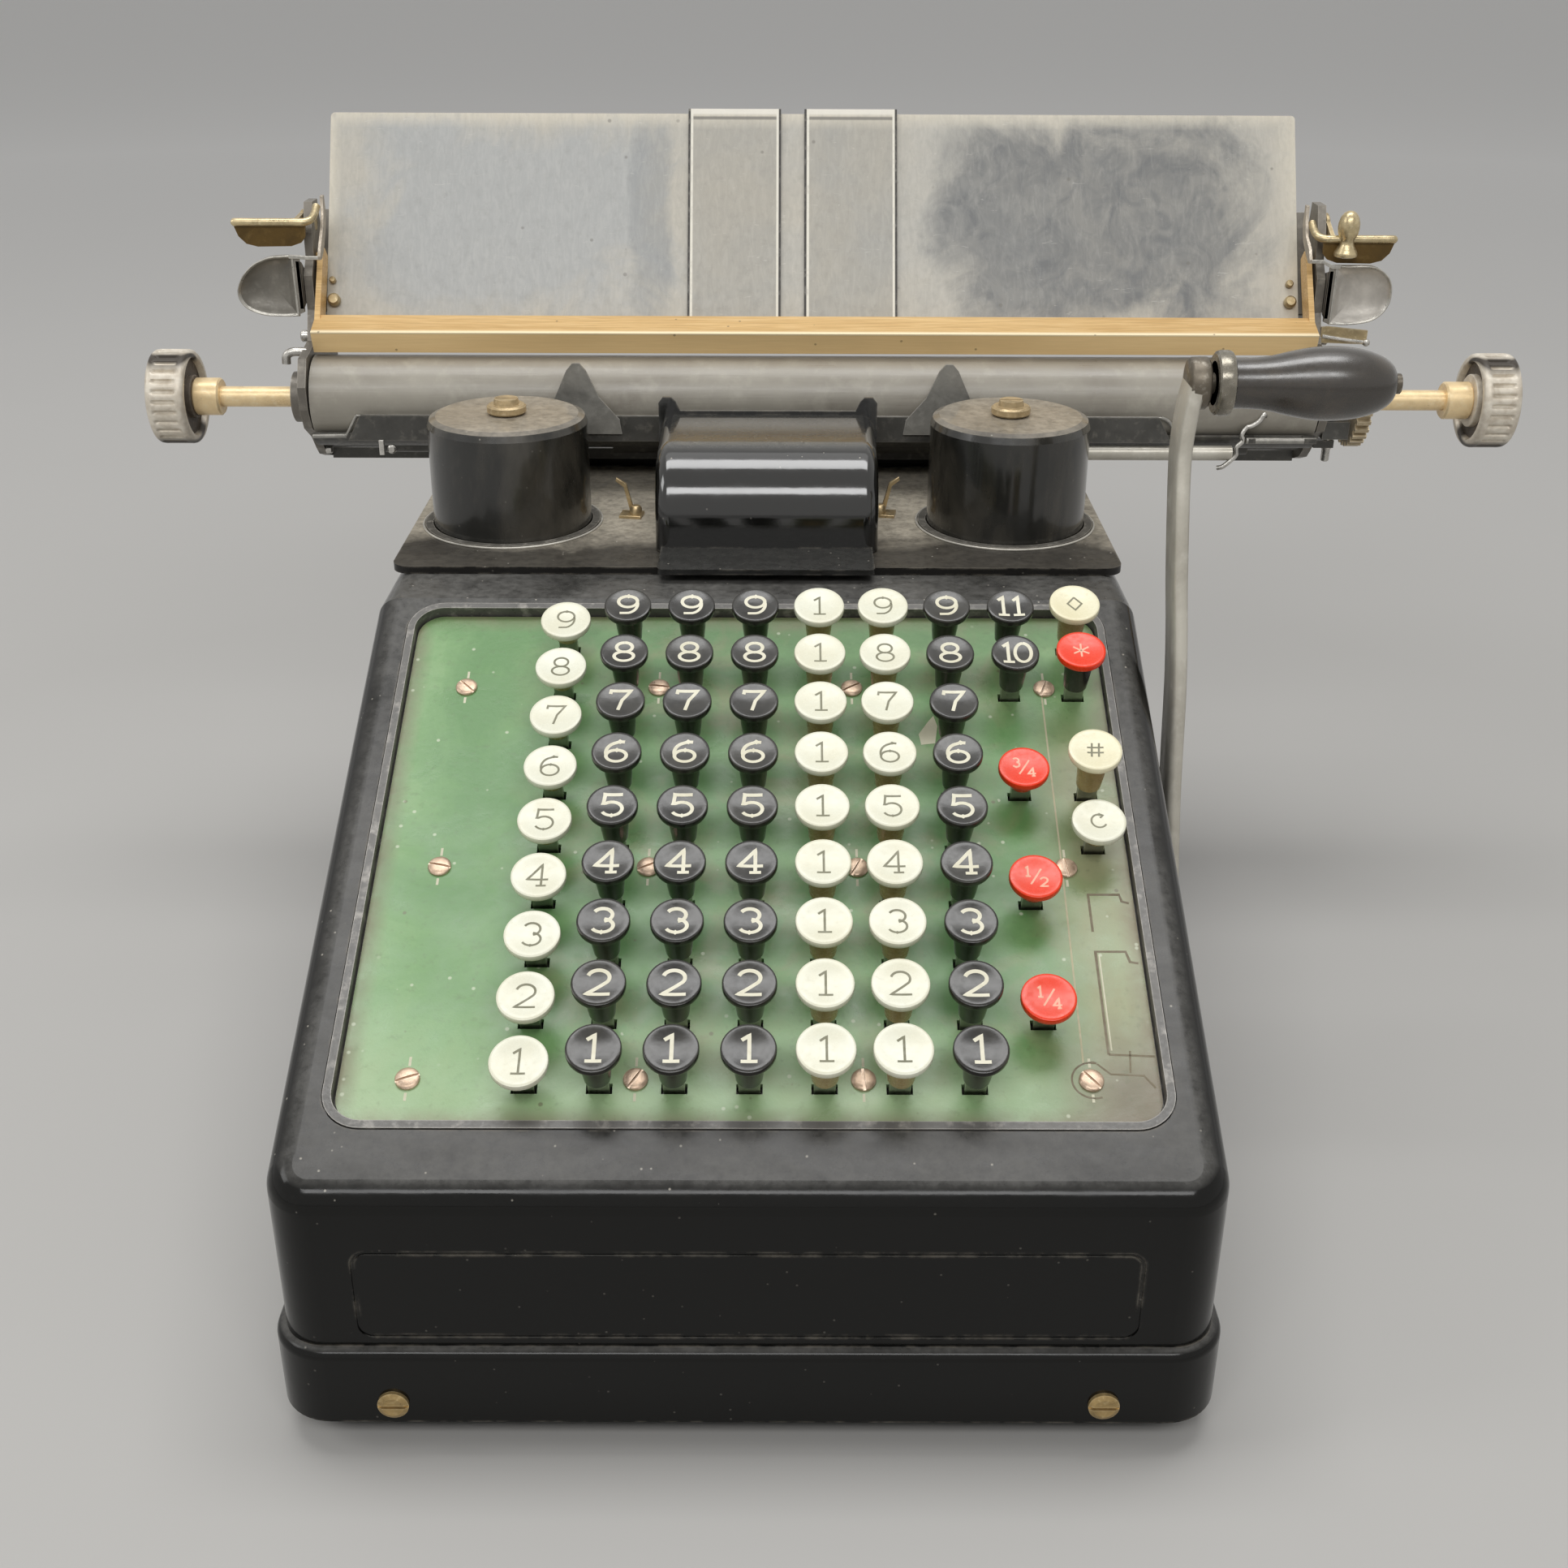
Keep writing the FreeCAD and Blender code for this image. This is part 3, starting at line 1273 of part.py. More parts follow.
pan_sheets = Piece("paper_pan")
pan_near = d.platen_radius + d.pan_gap
pan_far = pan_near + d.pan_sheet


def arc_sheet(first, last, steps):
    angles = [first + (last - first) * k / steps for k in range(steps + 1)]
    inner = [(pan_near * cos_of(angle), pan_near * sin_of(angle)) for angle in angles]
    outer = [(pan_far * cos_of(angle), pan_far * sin_of(angle)) for angle in reversed(angles)]
    pan_sheets.pad("X", [inner + outer], bed_length, (left_end, d.platen_y, d.platen_z))


arc_sheet(215, 272, 8)
arc_sheet(308, 345, 6)

# pressure_rollers: four rollers on a spindle under the platen

rollers = Piece("pressure_rollers")
roller_length = 62
rollers.rod("X", d.roller_spindle, bed_length + 2 * d.end_plate_thick,
            (left_end - d.end_plate_thick, roller_y, roller_z))
roller = rollers.rod("X", d.roller_radius, roller_length, (left_end + 20, roller_y, roller_z))
rollers.row([roller], "X", (bed_length - 40 - roller_length) / 3, 4)

# platen: the rubber-covered roller

roll = Piece("platen")
roll_start = d.carriage_x - d.platen_length / 2
roll.pad("X", [Circle(0, 0, d.platen_radius), Circle(0, 0, d.shaft_radius + d.running_gap)], d.platen_length,
         (roll_start, d.platen_y, d.platen_z))

# platen_shaft: the brass shaft with a collar at each knob

axle = Piece("platen_shaft")
left_collar = roll_start - d.left_shaft_reach
right_collar = roll_start + d.platen_length + d.right_shaft_reach
axle_start = left_collar - d.knob_socket
axle.rod("X", d.shaft_radius, right_collar + d.knob_socket - axle_start, (axle_start, d.platen_y, d.platen_z))
for start in (left_collar, right_collar - d.collar_length):
    axle.turn("X", [(0, 0), (0, d.collar_radius - 0.6), (0.6, d.collar_radius),
                    (d.collar_length - 0.6, d.collar_radius),
                    (d.collar_length, d.collar_radius - 0.6), (d.collar_length, 0)],
              (start, d.platen_y, d.platen_z))


# the platen knobs: fluted wheels with a socket for the shaft


def platen_knob(label, start, socket_start):
    knob = Piece(label)
    rim = d.knob_radius
    wide = d.knob_width
    knob.turn("X", [(0, 0), (0, rim - 2), (1.6, rim), (wide - 1.6, rim), (wide, rim - 2), (wide, 0)],
              (start, d.platen_y, d.platen_z))
    flute = knob.cut("X", [Circle(rim + 0.5, 0, d.knob_flute_radius)], wide + 2,
                     (start - 1, d.platen_y, d.platen_z))
    knob.wheel([flute], flute.Profile[0], "N_Axis", d.knob_flutes)
    knob.drill("X", d.shaft_radius + d.running_gap, d.knob_socket, (socket_start, d.platen_y, d.platen_z))
    return knob


platen_knob("left_platen_knob", left_collar - d.knob_width, left_collar - d.knob_socket)
platen_knob("right_platen_knob", right_collar, right_collar)

# line_space_ratchet: the toothed wheel on the shaft outside the right end plate

ratchet = Piece("line_space_ratchet")
ratchet_start = right_end + d.end_plate_thick + d.ratchet_gap
ratchet.pad("X", [gear_outline(0, 0, d.ratchet_radius, d.ratchet_radius - 1.6,
                               int(d.ratchet_teeth.value), 0.12),
                  Circle(0, 0, d.shaft_radius + d.running_gap)], d.ratchet_width,
            (ratchet_start, d.platen_y, d.platen_z))

# paper_bail: the two-faced bar over the platen, on arms with pins

bail = Piece("paper_bail")
bail_start = left_end + 1
bail_length = bed_length - 2
bail.pad("X", [[(134, 213.6), (140, 213.6), (145, 223), (142, 225.2), (131.5, 221.2)]], bail_length,
         (bail_start, 0, 0))
arm_start = bail_start + bail_length - d.bail_arm_thick
for start, pin_start in ((bail_start, left_end - d.end_plate_thick),
                         (arm_start, bail_start + bail_length + d.bail_pin_seam)):
    bail.pad("X", [[(140, 214), (146, 220), (d.bail_pivot_y + d.bail_arm_radius * 0.5,
                                             d.bail_pivot_z - d.bail_arm_radius),
                    (d.bail_pivot_y + d.bail_arm_radius, d.bail_pivot_z),
                    (d.bail_pivot_y, d.bail_pivot_z + d.bail_arm_radius),
                    (d.bail_pivot_y - d.bail_arm_radius, d.bail_pivot_z + d.bail_arm_radius * 0.5),
                    (139, 223.8), (136, 216)]], d.bail_arm_thick, (start, 0, 0))
    bail.rod("X", d.bail_pin_radius, d.end_plate_thick + 1 - d.bail_pin_seam,
             (pin_start, d.bail_pivot_y, d.bail_pivot_z))

# paper_table: the leaning sheet behind the platen

table = Piece("paper_table")
table_half = d.table_width / 2
table.pad("Y", [Rounded(-table_half, 0, table_half, d.table_length, d.table_corner)], d.table_thick)
table.stand((d.table_x, d.table_foot_y, d.table_foot_z), "X", -d.table_lean)


# the paper guides: bands that hang over the top of the table and slide along it


def paper_guide(label, x):
    guide = Piece(label)
    half = d.guide_band_width / 2
    near_face = -d.guide_band_gap - d.guide_band_thick
    far_face = d.table_thick + d.guide_band_gap + d.guide_band_thick
    roof = d.table_length + d.guide_band_gap
    guide.pad("X", [[(near_face, 3), (-d.guide_band_gap, 3), (-d.guide_band_gap, roof),
                     (d.table_thick + d.guide_band_gap, roof),
                     (d.table_thick + d.guide_band_gap, roof - d.guide_hook),
                     (far_face, roof - d.guide_hook), (far_face, roof + d.guide_band_thick),
                     (near_face, roof + d.guide_band_thick)]], d.guide_band_width, (-half, 0, 0))
    guide.stand((x, d.table_foot_y, d.table_foot_z), "X", -d.table_lean)


paper_guide("left_paper_guide", d.left_guide_x)
paper_guide("right_paper_guide", d.right_guide_x)


# the levers at both ends of the carriage: a disc on a pin outside the end plate, and a blade


def lever(label, side, pivot_y, pivot_z, outline, blade_y, arm_half):
    handle = Piece(label)
    face = right_end + d.end_plate_thick + 0.4 if side > 0 else left_end - d.end_plate_thick - 0.4
    disc_start = face if side > 0 else face - d.lever_thick
    pin_start = right_end if side > 0 else left_end - d.end_plate_thick - 1
    handle.rod("X", 5, d.lever_thick, (disc_start, pivot_y, pivot_z))
    handle.rod("X", d.lever_pin_radius, d.end_plate_thick + 1, (pin_start, pivot_y, pivot_z))
    handle.pad("X", [[(blade_y, pivot_z - arm_half), (pivot_y, pivot_z - arm_half),
                      (pivot_y, pivot_z + arm_half), (blade_y, pivot_z + arm_half)]], d.lever_thick,
               (disc_start, 0, 0))
    handle.pad("Y", [[(face + side * x, z) for x, z in outline]], d.lever_thick, (0, blade_y, 0))
    return handle


blade_low = d.release_pivot_z - d.release_blade / 2
blade_high = d.release_pivot_z + d.release_blade / 2
blade_outline = [(-8, blade_low + 3), (2, blade_low + 3), (3, blade_low),
                 (d.release_reach - 2, blade_low - 1),
                 (d.release_reach, blade_low + 2), (d.release_reach - 0.5, blade_high - 3),
                 (4, blade_high - 2), (1.5, blade_high + 2), (-8, blade_high + 2)]
lever("left_carriage_lever", -1, d.release_pivot_y + 3, d.release_pivot_z, blade_outline, 150, 3)
low_blade = [(x, z - d.right_blade_drop) for x, z in blade_outline]
right_blade = lever("right_carriage_lever", 1, d.release_pivot_y + 3, d.release_pivot_z, low_blade, 150, 3)
right_blade.turn("Z", [(0, 0), (0, 2.6), (3, 2.8), (5, 1.8), (7, 1.6), (8.5, 2.8), (11, 3.6), (13.5, 3.2),
                       (15.5, 1.6),
                       (16, 0)], (right_end + d.end_plate_thick + 6, 147, d.release_pivot_z - 8))
spoon_low = d.spoon_pivot_z + 1 - d.spoon_height / 2
spoon_high = spoon_low + d.spoon_height
reach = d.spoon_reach
spoon_outline = [(0, spoon_low + 3), (3, spoon_low + 1), (reach * 0.45, spoon_low),
                 (reach * 0.72, spoon_low + 1),
                 (reach * 0.92, spoon_low + 4.5), (reach, spoon_low + 9), (reach * 0.97, spoon_low + 14),
                 (reach * 0.86, spoon_high - 3), (reach * 0.7, spoon_high - 0.8), (reach * 0.5, spoon_high),
                 (0, spoon_high)]
lever("left_release_lever", -1, d.spoon_pivot_y, d.spoon_pivot_z, spoon_outline, 144, 4)
low_spoon = [(x, z - d.right_spoon_drop) for x, z in spoon_outline]
lever("right_release_lever", 1, d.spoon_pivot_y, d.spoon_pivot_z, low_spoon, 144, 4)

# every sub-part is moved so that the origin lies under the middle of the machine's outline

outline_x = (left_collar + right_collar) / 2
band_back = d.guide_band_gap + d.guide_band_thick
outline_back, _ = table_point(d.table_length + band_back, d.table_thick + band_back)
outline_y = (outline_back - flare_y - d.screw_head_height) / 2
for label, item in pieces.items():
    x, y, z = stands.get(label, (0, 0, 0))
    bind_base(item, "Placement", (x - outline_x, y - outline_y, z))

# every object is checked, then every sub-part is written

doc.recompute()
for item in doc.Objects:
    if "Invalid" in item.State or "Error" in item.State:
        raise ValueError("%s is %s" % (item.Name, item.State))
for item in cuts:
    if item.Shape.Volume >= item.BaseFeature.Shape.Volume - 0.01:
        raise ValueError("%s cuts nothing" % item.Name)
os.makedirs("parts", exist_ok=True)
for label, item in pieces.items():
    if item.Shape.isNull() or not item.Shape.isValid():
        raise ValueError("%s has no valid shape" % label)
    item.Shape.exportStep("parts/%s.step" % label)
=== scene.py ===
import bmesh
import bpy
from math import asin, atan2, ceil, cos, hypot, pi, radians, sin, sqrt
from mathutils import Matrix, Vector


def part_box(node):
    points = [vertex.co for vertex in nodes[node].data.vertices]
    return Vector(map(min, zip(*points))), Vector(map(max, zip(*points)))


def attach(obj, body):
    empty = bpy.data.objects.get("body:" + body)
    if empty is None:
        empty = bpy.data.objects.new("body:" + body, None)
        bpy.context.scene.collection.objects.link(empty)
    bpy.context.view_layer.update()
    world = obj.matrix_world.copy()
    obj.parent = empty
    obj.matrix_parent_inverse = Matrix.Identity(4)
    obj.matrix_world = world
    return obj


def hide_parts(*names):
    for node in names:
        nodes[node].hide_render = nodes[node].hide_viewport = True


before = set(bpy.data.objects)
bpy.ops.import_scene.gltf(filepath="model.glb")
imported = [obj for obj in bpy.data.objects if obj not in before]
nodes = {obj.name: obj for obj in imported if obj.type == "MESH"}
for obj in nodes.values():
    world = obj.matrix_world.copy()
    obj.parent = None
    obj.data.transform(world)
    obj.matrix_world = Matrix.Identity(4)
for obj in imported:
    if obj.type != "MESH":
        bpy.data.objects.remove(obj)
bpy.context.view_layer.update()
MM = 0.001

# the middle of the case, on the floor, is where all places below are measured from, in millimetres
low_corner, high_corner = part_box("body_shell")
HOME = Vector(((low_corner.x + high_corner.x) / 2, (low_corner.y + high_corner.y) / 2, 0))

# the keyboard's lower edge and slope, and its screws across and up the slope
BOARD_FOOT = (0, -150, 85.6)
SLOPE = radians(24.4)
PLATE_SCREWS = [(u, v) for v in (13, 80.5, 148) for u in (-87, -29, 29, 87)]

# axes that lie across the machine, as depth and height
PLATEN_Y, PLATEN_Z = 132, 197
LEVER_AXIS = (161, 254)
SPOON_AXIS = (152, 234)
CRANK_AXIS = (-24, 60)
GRIP_AXIS = (8.5, 234)

# the outer faces of the end plates by side, the ribbon cups, and the height of the bail's crease in metres
END_FACES = {-1: -164.5, 1: 203.6}
CUP_X, CUP_Y = 85, 86
BAIL_CREASE = 221.2 * MM


def at(x, y, z):
    """A place of the case in the frame of the whole machine, in metres."""
    return HOME + Vector((x, y, z)) * MM


def standing(x, y, z):
    """A millimetre frame that stands upright at a place of the case."""
    return Matrix.Translation(at(x, y, z)) @ Matrix.Scale(MM, 4)


def lying(place, side):
    """A millimetre frame whose Z points level across the machine, outward on one side."""
    return Matrix.Translation(place) @ Matrix.Rotation(radians(90 * side), 4, "Y") @ Matrix.Scale(MM, 4)


def new_object(name, data):
    thing = bpy.data.objects.new(name, data)
    bpy.context.scene.collection.objects.link(thing)
    return thing


# the camera of the photograph

def add_camera():
    pitch, yaw, roll = radians(26.09), radians(0.13), radians(-0.22)
    ahead = Vector((sin(yaw) * cos(pitch), cos(yaw) * cos(pitch), -sin(pitch)))
    right = Vector((cos(yaw), -sin(yaw), 0))
    down = ahead.cross(right)
    side = cos(roll) * right + sin(roll) * down
    low = cos(roll) * down - sin(roll) * right
    data = bpy.data.cameras.new("camera")
    data.sensor_fit = "HORIZONTAL"
    data.sensor_width = 36
    data.lens = 41.888
    data.clip_start, data.clip_end = 0.01, 40
    camera = new_object("camera", data)
    turn = Matrix((side, -low, -ahead)).transposed()
    camera.matrix_world = Matrix.Translation(at(7.6, -522, 362.9)) @ turn.to_4x4()
    bpy.context.scene.camera = camera


add_camera()
bpy.context.scene.view_settings.view_transform = "Standard"


# materials and the world are made of nodes. The materials are kept by name

looks = {}


class Nodes:
    """A tree of shader nodes: each call adds a node and gives its socket."""

    def __init__(self, owner):
        owner.use_nodes = True
        self.tree = owner.node_tree

    def link(self, socket, value):
        if isinstance(value, bpy.types.NodeSocket):
            self.tree.links.new(value, socket)
        elif isinstance(value, (tuple, list)) and len(value) == 3 and socket.type == "RGBA":
            socket.default_value = (*value, 1)
        else:
            socket.default_value = value

    def node(self, kind, *values):
        """A new node, with its first inputs set or linked."""
        node = self.tree.nodes.new("ShaderNode" + kind)
        for socket, value in zip(node.inputs, values):
            self.link(socket, value)
        return node

    def math(self, kind, a, b=0):
        node = self.node("Math", a, b)
        node.operation = kind
        return node.outputs[0]

    def plus(self, a, b):
        return self.math("ADD", a, b)

    def most(self, a, b):
        return self.math("MAXIMUM", a, b)

    def times(self, *values):
        result = values[0]
        for value in values[1:]:
            result = self.math("MULTIPLY", result, value)
        return result


class Paint(Nodes):
    """A procedural material in the making."""

    def __init__(self, name):
        looks[name] = bpy.data.materials.new(name)
        super().__init__(looks[name])
        object_place = self.node("TexCoord").outputs["Object"]
        self.place = self.vector("SUBTRACT", object_place, tuple(HOME))
        self.geometry = self.node("NewGeometry")

    def set(self, **values):
        for name, value in values.items():
            self.link(self.tree.nodes["Principled BSDF"].inputs[name.replace("_", " ")], value)

    def off(self, value, middle):
        """How far a value is from a middle one."""
        return self.math("ABSOLUTE", self.math("SUBTRACT", value, middle))

    def vector(self, kind, a, b=(0, 0, 0)):
        node = self.node("VectorMath", a, b)
        node.operation = kind
        return node.outputs["Value"] if kind in ("DOT_PRODUCT", "LENGTH") else node.outputs[0]

    def split(self, value):
        return self.node("SeparateXYZ", value).outputs

    def stretch(self, *scale):
        return self.vector("MULTIPLY", self.place, scale)

    def noise(self, scale, detail, rough, bend=0, place=None):
        node = self.node("TexNoise", place or self.place)
        for name, value in (("Scale", scale), ("Detail", detail), ("Roughness", rough), ("Distortion", bend)):
            node.inputs[name].default_value = value
        return node.outputs["Fac"]

    def drawn(self, scale, detail, rough, bend=0):
        """Noise that is stretched by its own scale along each axis."""
        return self.noise(1, detail, rough, bend, self.stretch(*scale))

    def span(self, value, low, high, first=0, last=1):
        """A value from low to high, changed to go from first to last and kept between them."""
        return self.node("MapRange", value, low, high, first, last).outputs[0]

    def mix(self, share, a, b):
        node = self.node("Mix", share)
        node.data_type = "RGBA"
        self.link(node.inputs[6], a)
        self.link(node.inputs[7], b)
        return node.outputs[2]

    def layers(self, ground, *layers):
        """Thin layers over a ground colour, each a colour and the factors of its share. A tuple stands for a span."""
        for colour, *factors in layers:
            share = self.times(*(self.span(*f) if isinstance(f, tuple) else f for f in factors))
            ground = self.mix(share, ground, colour)
        return ground

    def bump(self, height, strength, distance, normal=None):
        node = self.node("Bump")
        for name, value in (("Strength", strength), ("Distance", distance), ("Height", height), ("Normal", normal)):
            if value is not None:
                self.link(node.inputs[name], value)
        return node.outputs[0]

    def upward(self, low, high):
        """How far the surface looks up, from 0 to 1."""
        return self.span(self.split(self.geometry.outputs["Normal"])[2], low, high)

    def edges(self, radius, low, high):
        """1 at corners sharper than the radius, 0 on flat ground."""
        node = self.node("Bevel", radius)
        agree = self.vector("DOT_PRODUCT", node.outputs[0], self.geometry.outputs["Normal"])
        return self.span(agree, 1 - low, 1 - high)

    def specks(self, scale, size, share):
        """Small scattered dots, of a size in cells, on a share of the cells."""
        cells = self.node("TexVoronoi", self.place)
        cells.inputs["Scale"].default_value = scale
        dot = self.span(cells.outputs["Distance"], size * 0.6, size, 1, 0)
        return self.times(dot, self.span(self.split(cells.outputs["Color"])[0], share, share - 0.02))

    def board(self):
        """The place along the slope of the keyboard, across and up it, in metres from its lower edge."""
        x = self.split(self.place)[0]
        up = self.vector("DOT_PRODUCT", self.vector("SUBTRACT", self.place, tuple(v * MM for v in BOARD_FOOT)),
                         (0, cos(SLOPE), sin(SLOPE)))
        return x, up


def board(u, v, w):
    """A place on the sloping keyboard: across, up the slope and out of it, in millimetres."""
    x, y, z = BOARD_FOOT
    return at(x + u, y + v * cos(SLOPE) - w * sin(SLOPE), z + v * sin(SLOPE) + w * cos(SLOPE))


def on_board(u, v, w=0):
    """The millimetre frame of a place on the keyboard, its Z out of the slope and its Y up it."""
    return Matrix.Translation(board(u, v, w)) @ Matrix.Rotation(SLOPE, 4, "X") @ Matrix.Scale(MM, 4)


def enamel(name, dust_and_sheen, dust_and_sheen_colour=(0.2, 0.17, 0.13), gloss=0.13, base=(0.0035, 0.0035, 0.003), wear=0.5,
           level=0.86, patchy=0.35, shine=0.28, haze_and_sheen=0, dusty_from=None, coat=0):
    """Old black stove enamel: glossy, with a dusty film on what looks up (on the case also a painted sheen), pale
    streaks of haze and painted sheen where asked, fine specks and edges rubbed pale.
    """
    p = Paint(name)
    fine = p.noise(900, 5, 0.6)
    cloud = p.noise(26, 6, 0.6, 0.4)
    grit = p.noise(340, 6, 0.7)
    # what looks up gets a dusty film; on the case it is also a painted sheen, light enough to stand in for the glossy
    # grey reflection on its top band
    dust_and_sheen_film = p.times(p.upward(level, 0.97), p.span(cloud, patchy, patchy + 0.3, 0.25, 1), dust_and_sheen,
                   p.span(grit, 0.3, 0.62, 0.45, 1))
    if dusty_from:
        y = p.plus(p.split(p.place)[1], p.span(cloud, 0.3, 0.7, -0.009, 0.009))
        dust_and_sheen_film = p.times(dust_and_sheen_film, p.span(y, *dusty_from, 0.12, 1))
    rub = p.times(p.edges(0.0012, 0.03, 0.2), p.span(p.noise(140, 5, 0.65), 0.45, 0.62), wear)
    p.set(Base_Color=p.layers(
        base,
        # pale vertical streaks: partly a dusty haze, partly a painted sheen that stands in for reflections on upright
        # sides
        ((0.085, 0.075, 0.058), (p.drawn((55, 55, 16), 5, 0.6, 0.5), 0.4, 0.68), haze_and_sheen),
        (dust_and_sheen_colour, dust_and_sheen_film),
        ((0.1, 0.09, 0.07), (fine, 0.55, 0.8), p.upward(0.2, 0.9), 0.1),
        ((0.45, 0.42, 0.36), p.specks(420, 0.16, 0.1), p.upward(-0.2, 0.8), 0.7),
        ((0.3, 0.27, 0.22), rub)))
    smear = p.drawn((60, 180, 40), 4, 0.6)
    rough = p.plus(p.span(smear, 0.3, 0.7, gloss * 0.7, gloss * 1.6), p.times(dust_and_sheen_film, 0.35))
    p.set(Roughness=p.plus(rough, p.times(rub, 0.3)), Specular_IOR_Level=shine,
          Coat_Weight=coat, Coat_Roughness=0.1, Normal=p.bump(p.noise(200, 3, 0.5), 0.06, 0.0008))


def worn_metal(name, colour, worn, rough, metal, scale, grain=(1, 1, 1), dark=None):
    """Plain metal with a stain, a fine scratch grain and brighter rubs along its edges."""
    p = Paint(name)
    stain = p.noise(scale, 6, 0.65, 0.3)
    rub = p.noise(scale * 4, 5, 0.6)
    line = p.drawn([900 * g for g in grain], 4, 0.6)
    shade = p.layers(dark or tuple(0.6 * c for c in colour), (colour, (stain, 0.3, 0.62)),
                     (worn, (rub, 0.54, 0.74), 0.4), (worn, p.edges(0.0006, 0.04, 0.3), 0.6))
    p.set(Base_Color=shade, Metallic=metal,
          Roughness=p.span(p.plus(stain, line), 0.7, 1.3, rough * 0.75, rough * 1.35),
          Normal=p.bump(line, 0.12, 0.0004, p.bump(rub, 0.1, 0.0006)))


def knob_metal():
    """The knobs' worn plating, darker down in the grooves."""
    p = Paint("knob_paint")
    stain = p.noise(260, 6, 0.6, 0.3)
    far = p.vector("LENGTH", p.vector("SUBTRACT", p.stretch(0, 1, 1), (0, PLATEN_Y * MM, PLATEN_Z * MM)))
    colour = p.layers(
        (0.58, 0.51, 0.41),
        ((0.8, 0.74, 0.63), (stain, 0.35, 0.68)),
        ((0.05, 0.04, 0.03), (far, 0.01655, 0.0159), (far, 0.014, 0.015)),
        ((0.8, 0.77, 0.7), p.edges(0.0006, 0.05, 0.3), (far, 0.016, 0.0165), 0.6))
    p.set(Base_Color=colour, Metallic=0.15, Roughness=p.span(stain, 0.3, 0.7, 0.32, 0.5),
          Normal=p.bump(p.noise(700, 4, 0.6), 0.1, 0.0003))


def green_plate():
    """Green enamel of the keyboard: lighter where hands have rubbed it low down, browned along its edges."""
    p = Paint("plate_green")
    x, up = p.board()
    away = p.math("ABSOLUTE", x)
    cloud = p.noise(16, 6, 0.62, 0.6)
    mottle = p.noise(70, 6, 0.65, 0.3)
    fine = p.noise(420, 5, 0.6)
    level = p.plus(p.span(up, 0.04, 0, -0.06, 0.78), p.span(cloud, 0.3, 0.75, -0.28, 0.42))
    level = p.plus(level, p.span(mottle, 0.35, 0.7, -0.12, 0.16))
    level = p.plus(level, p.span(away, 0.085, 0.104, 0, 0.28))
    ends = p.most(p.span(up, 0.0055, 0), p.span(up, 0.171, 0.178))
    rim = p.most(p.span(away, 0.0985, 0.1042), ends)
    colour = p.layers(
        (0.115, 0.255, 0.085),
        ((0.185, 0.345, 0.135), (level, -0.1, 0.3)),
        ((0.355, 0.48, 0.27), (level, 0.25, 0.9)),
        ((0.3, 0.255, 0.15), (p.off(x, 0.012), 0.09, 0.05), (up, 0, 0.03),
         (p.noise(48, 5, 0.6, 0.5), 0.46, 0.68), 0.55),
        ((0.34, 0.3, 0.185), (x, 0.078, 0.092), (mottle, 0.25, 0.6, 0.6, 1),
         (up, 0.15, 0.12), 0.7),
        ((0.15, 0.125, 0.08), (x, 0.07, 0.095), (up, 0.034, 0.012), 0.85),
        ((0.2, 0.155, 0.1), rim, (mottle, 0.3, 0.6, 0.35, 1), 0.75),
        ((0.1, 0.13, 0.06), (fine, 0.56, 0.75), 0.3),
        ((0.62, 0.66, 0.5), p.specks(300, 0.2, 0.12), 0.6),
        ((0.12, 0.09, 0.05), p.specks(190, 0.14, 0.1), 0.6))
    p.set(Base_Color=colour, Roughness=p.span(mottle, 0.3, 0.7, 0.24, 0.44),
          Normal=p.bump(fine, 0.12, 0.0003, p.bump(mottle, 0.12, 0.0012)))


def bone(name, colour, stained, gloss=0.22):
    """Pressed key material, a little cloudy and scratched, with fine darker flecks."""
    p = Paint(name)
    cloud = p.noise(60, 5, 0.6, 0.3)
    fine = p.noise(700, 5, 0.6)
    shade = p.layers(colour, (stained, (cloud, 0.35, 0.75)),
                     (tuple(0.5 * c for c in stained), (fine, 0.6, 0.8), 0.25))
    p.set(Base_Color=shade, Roughness=p.span(fine, 0.3, 0.7, gloss * 0.8, gloss * 1.6),
          Normal=p.bump(cloud, 0.05, 0.0006, p.bump(fine, 0.06, 0.0002)))


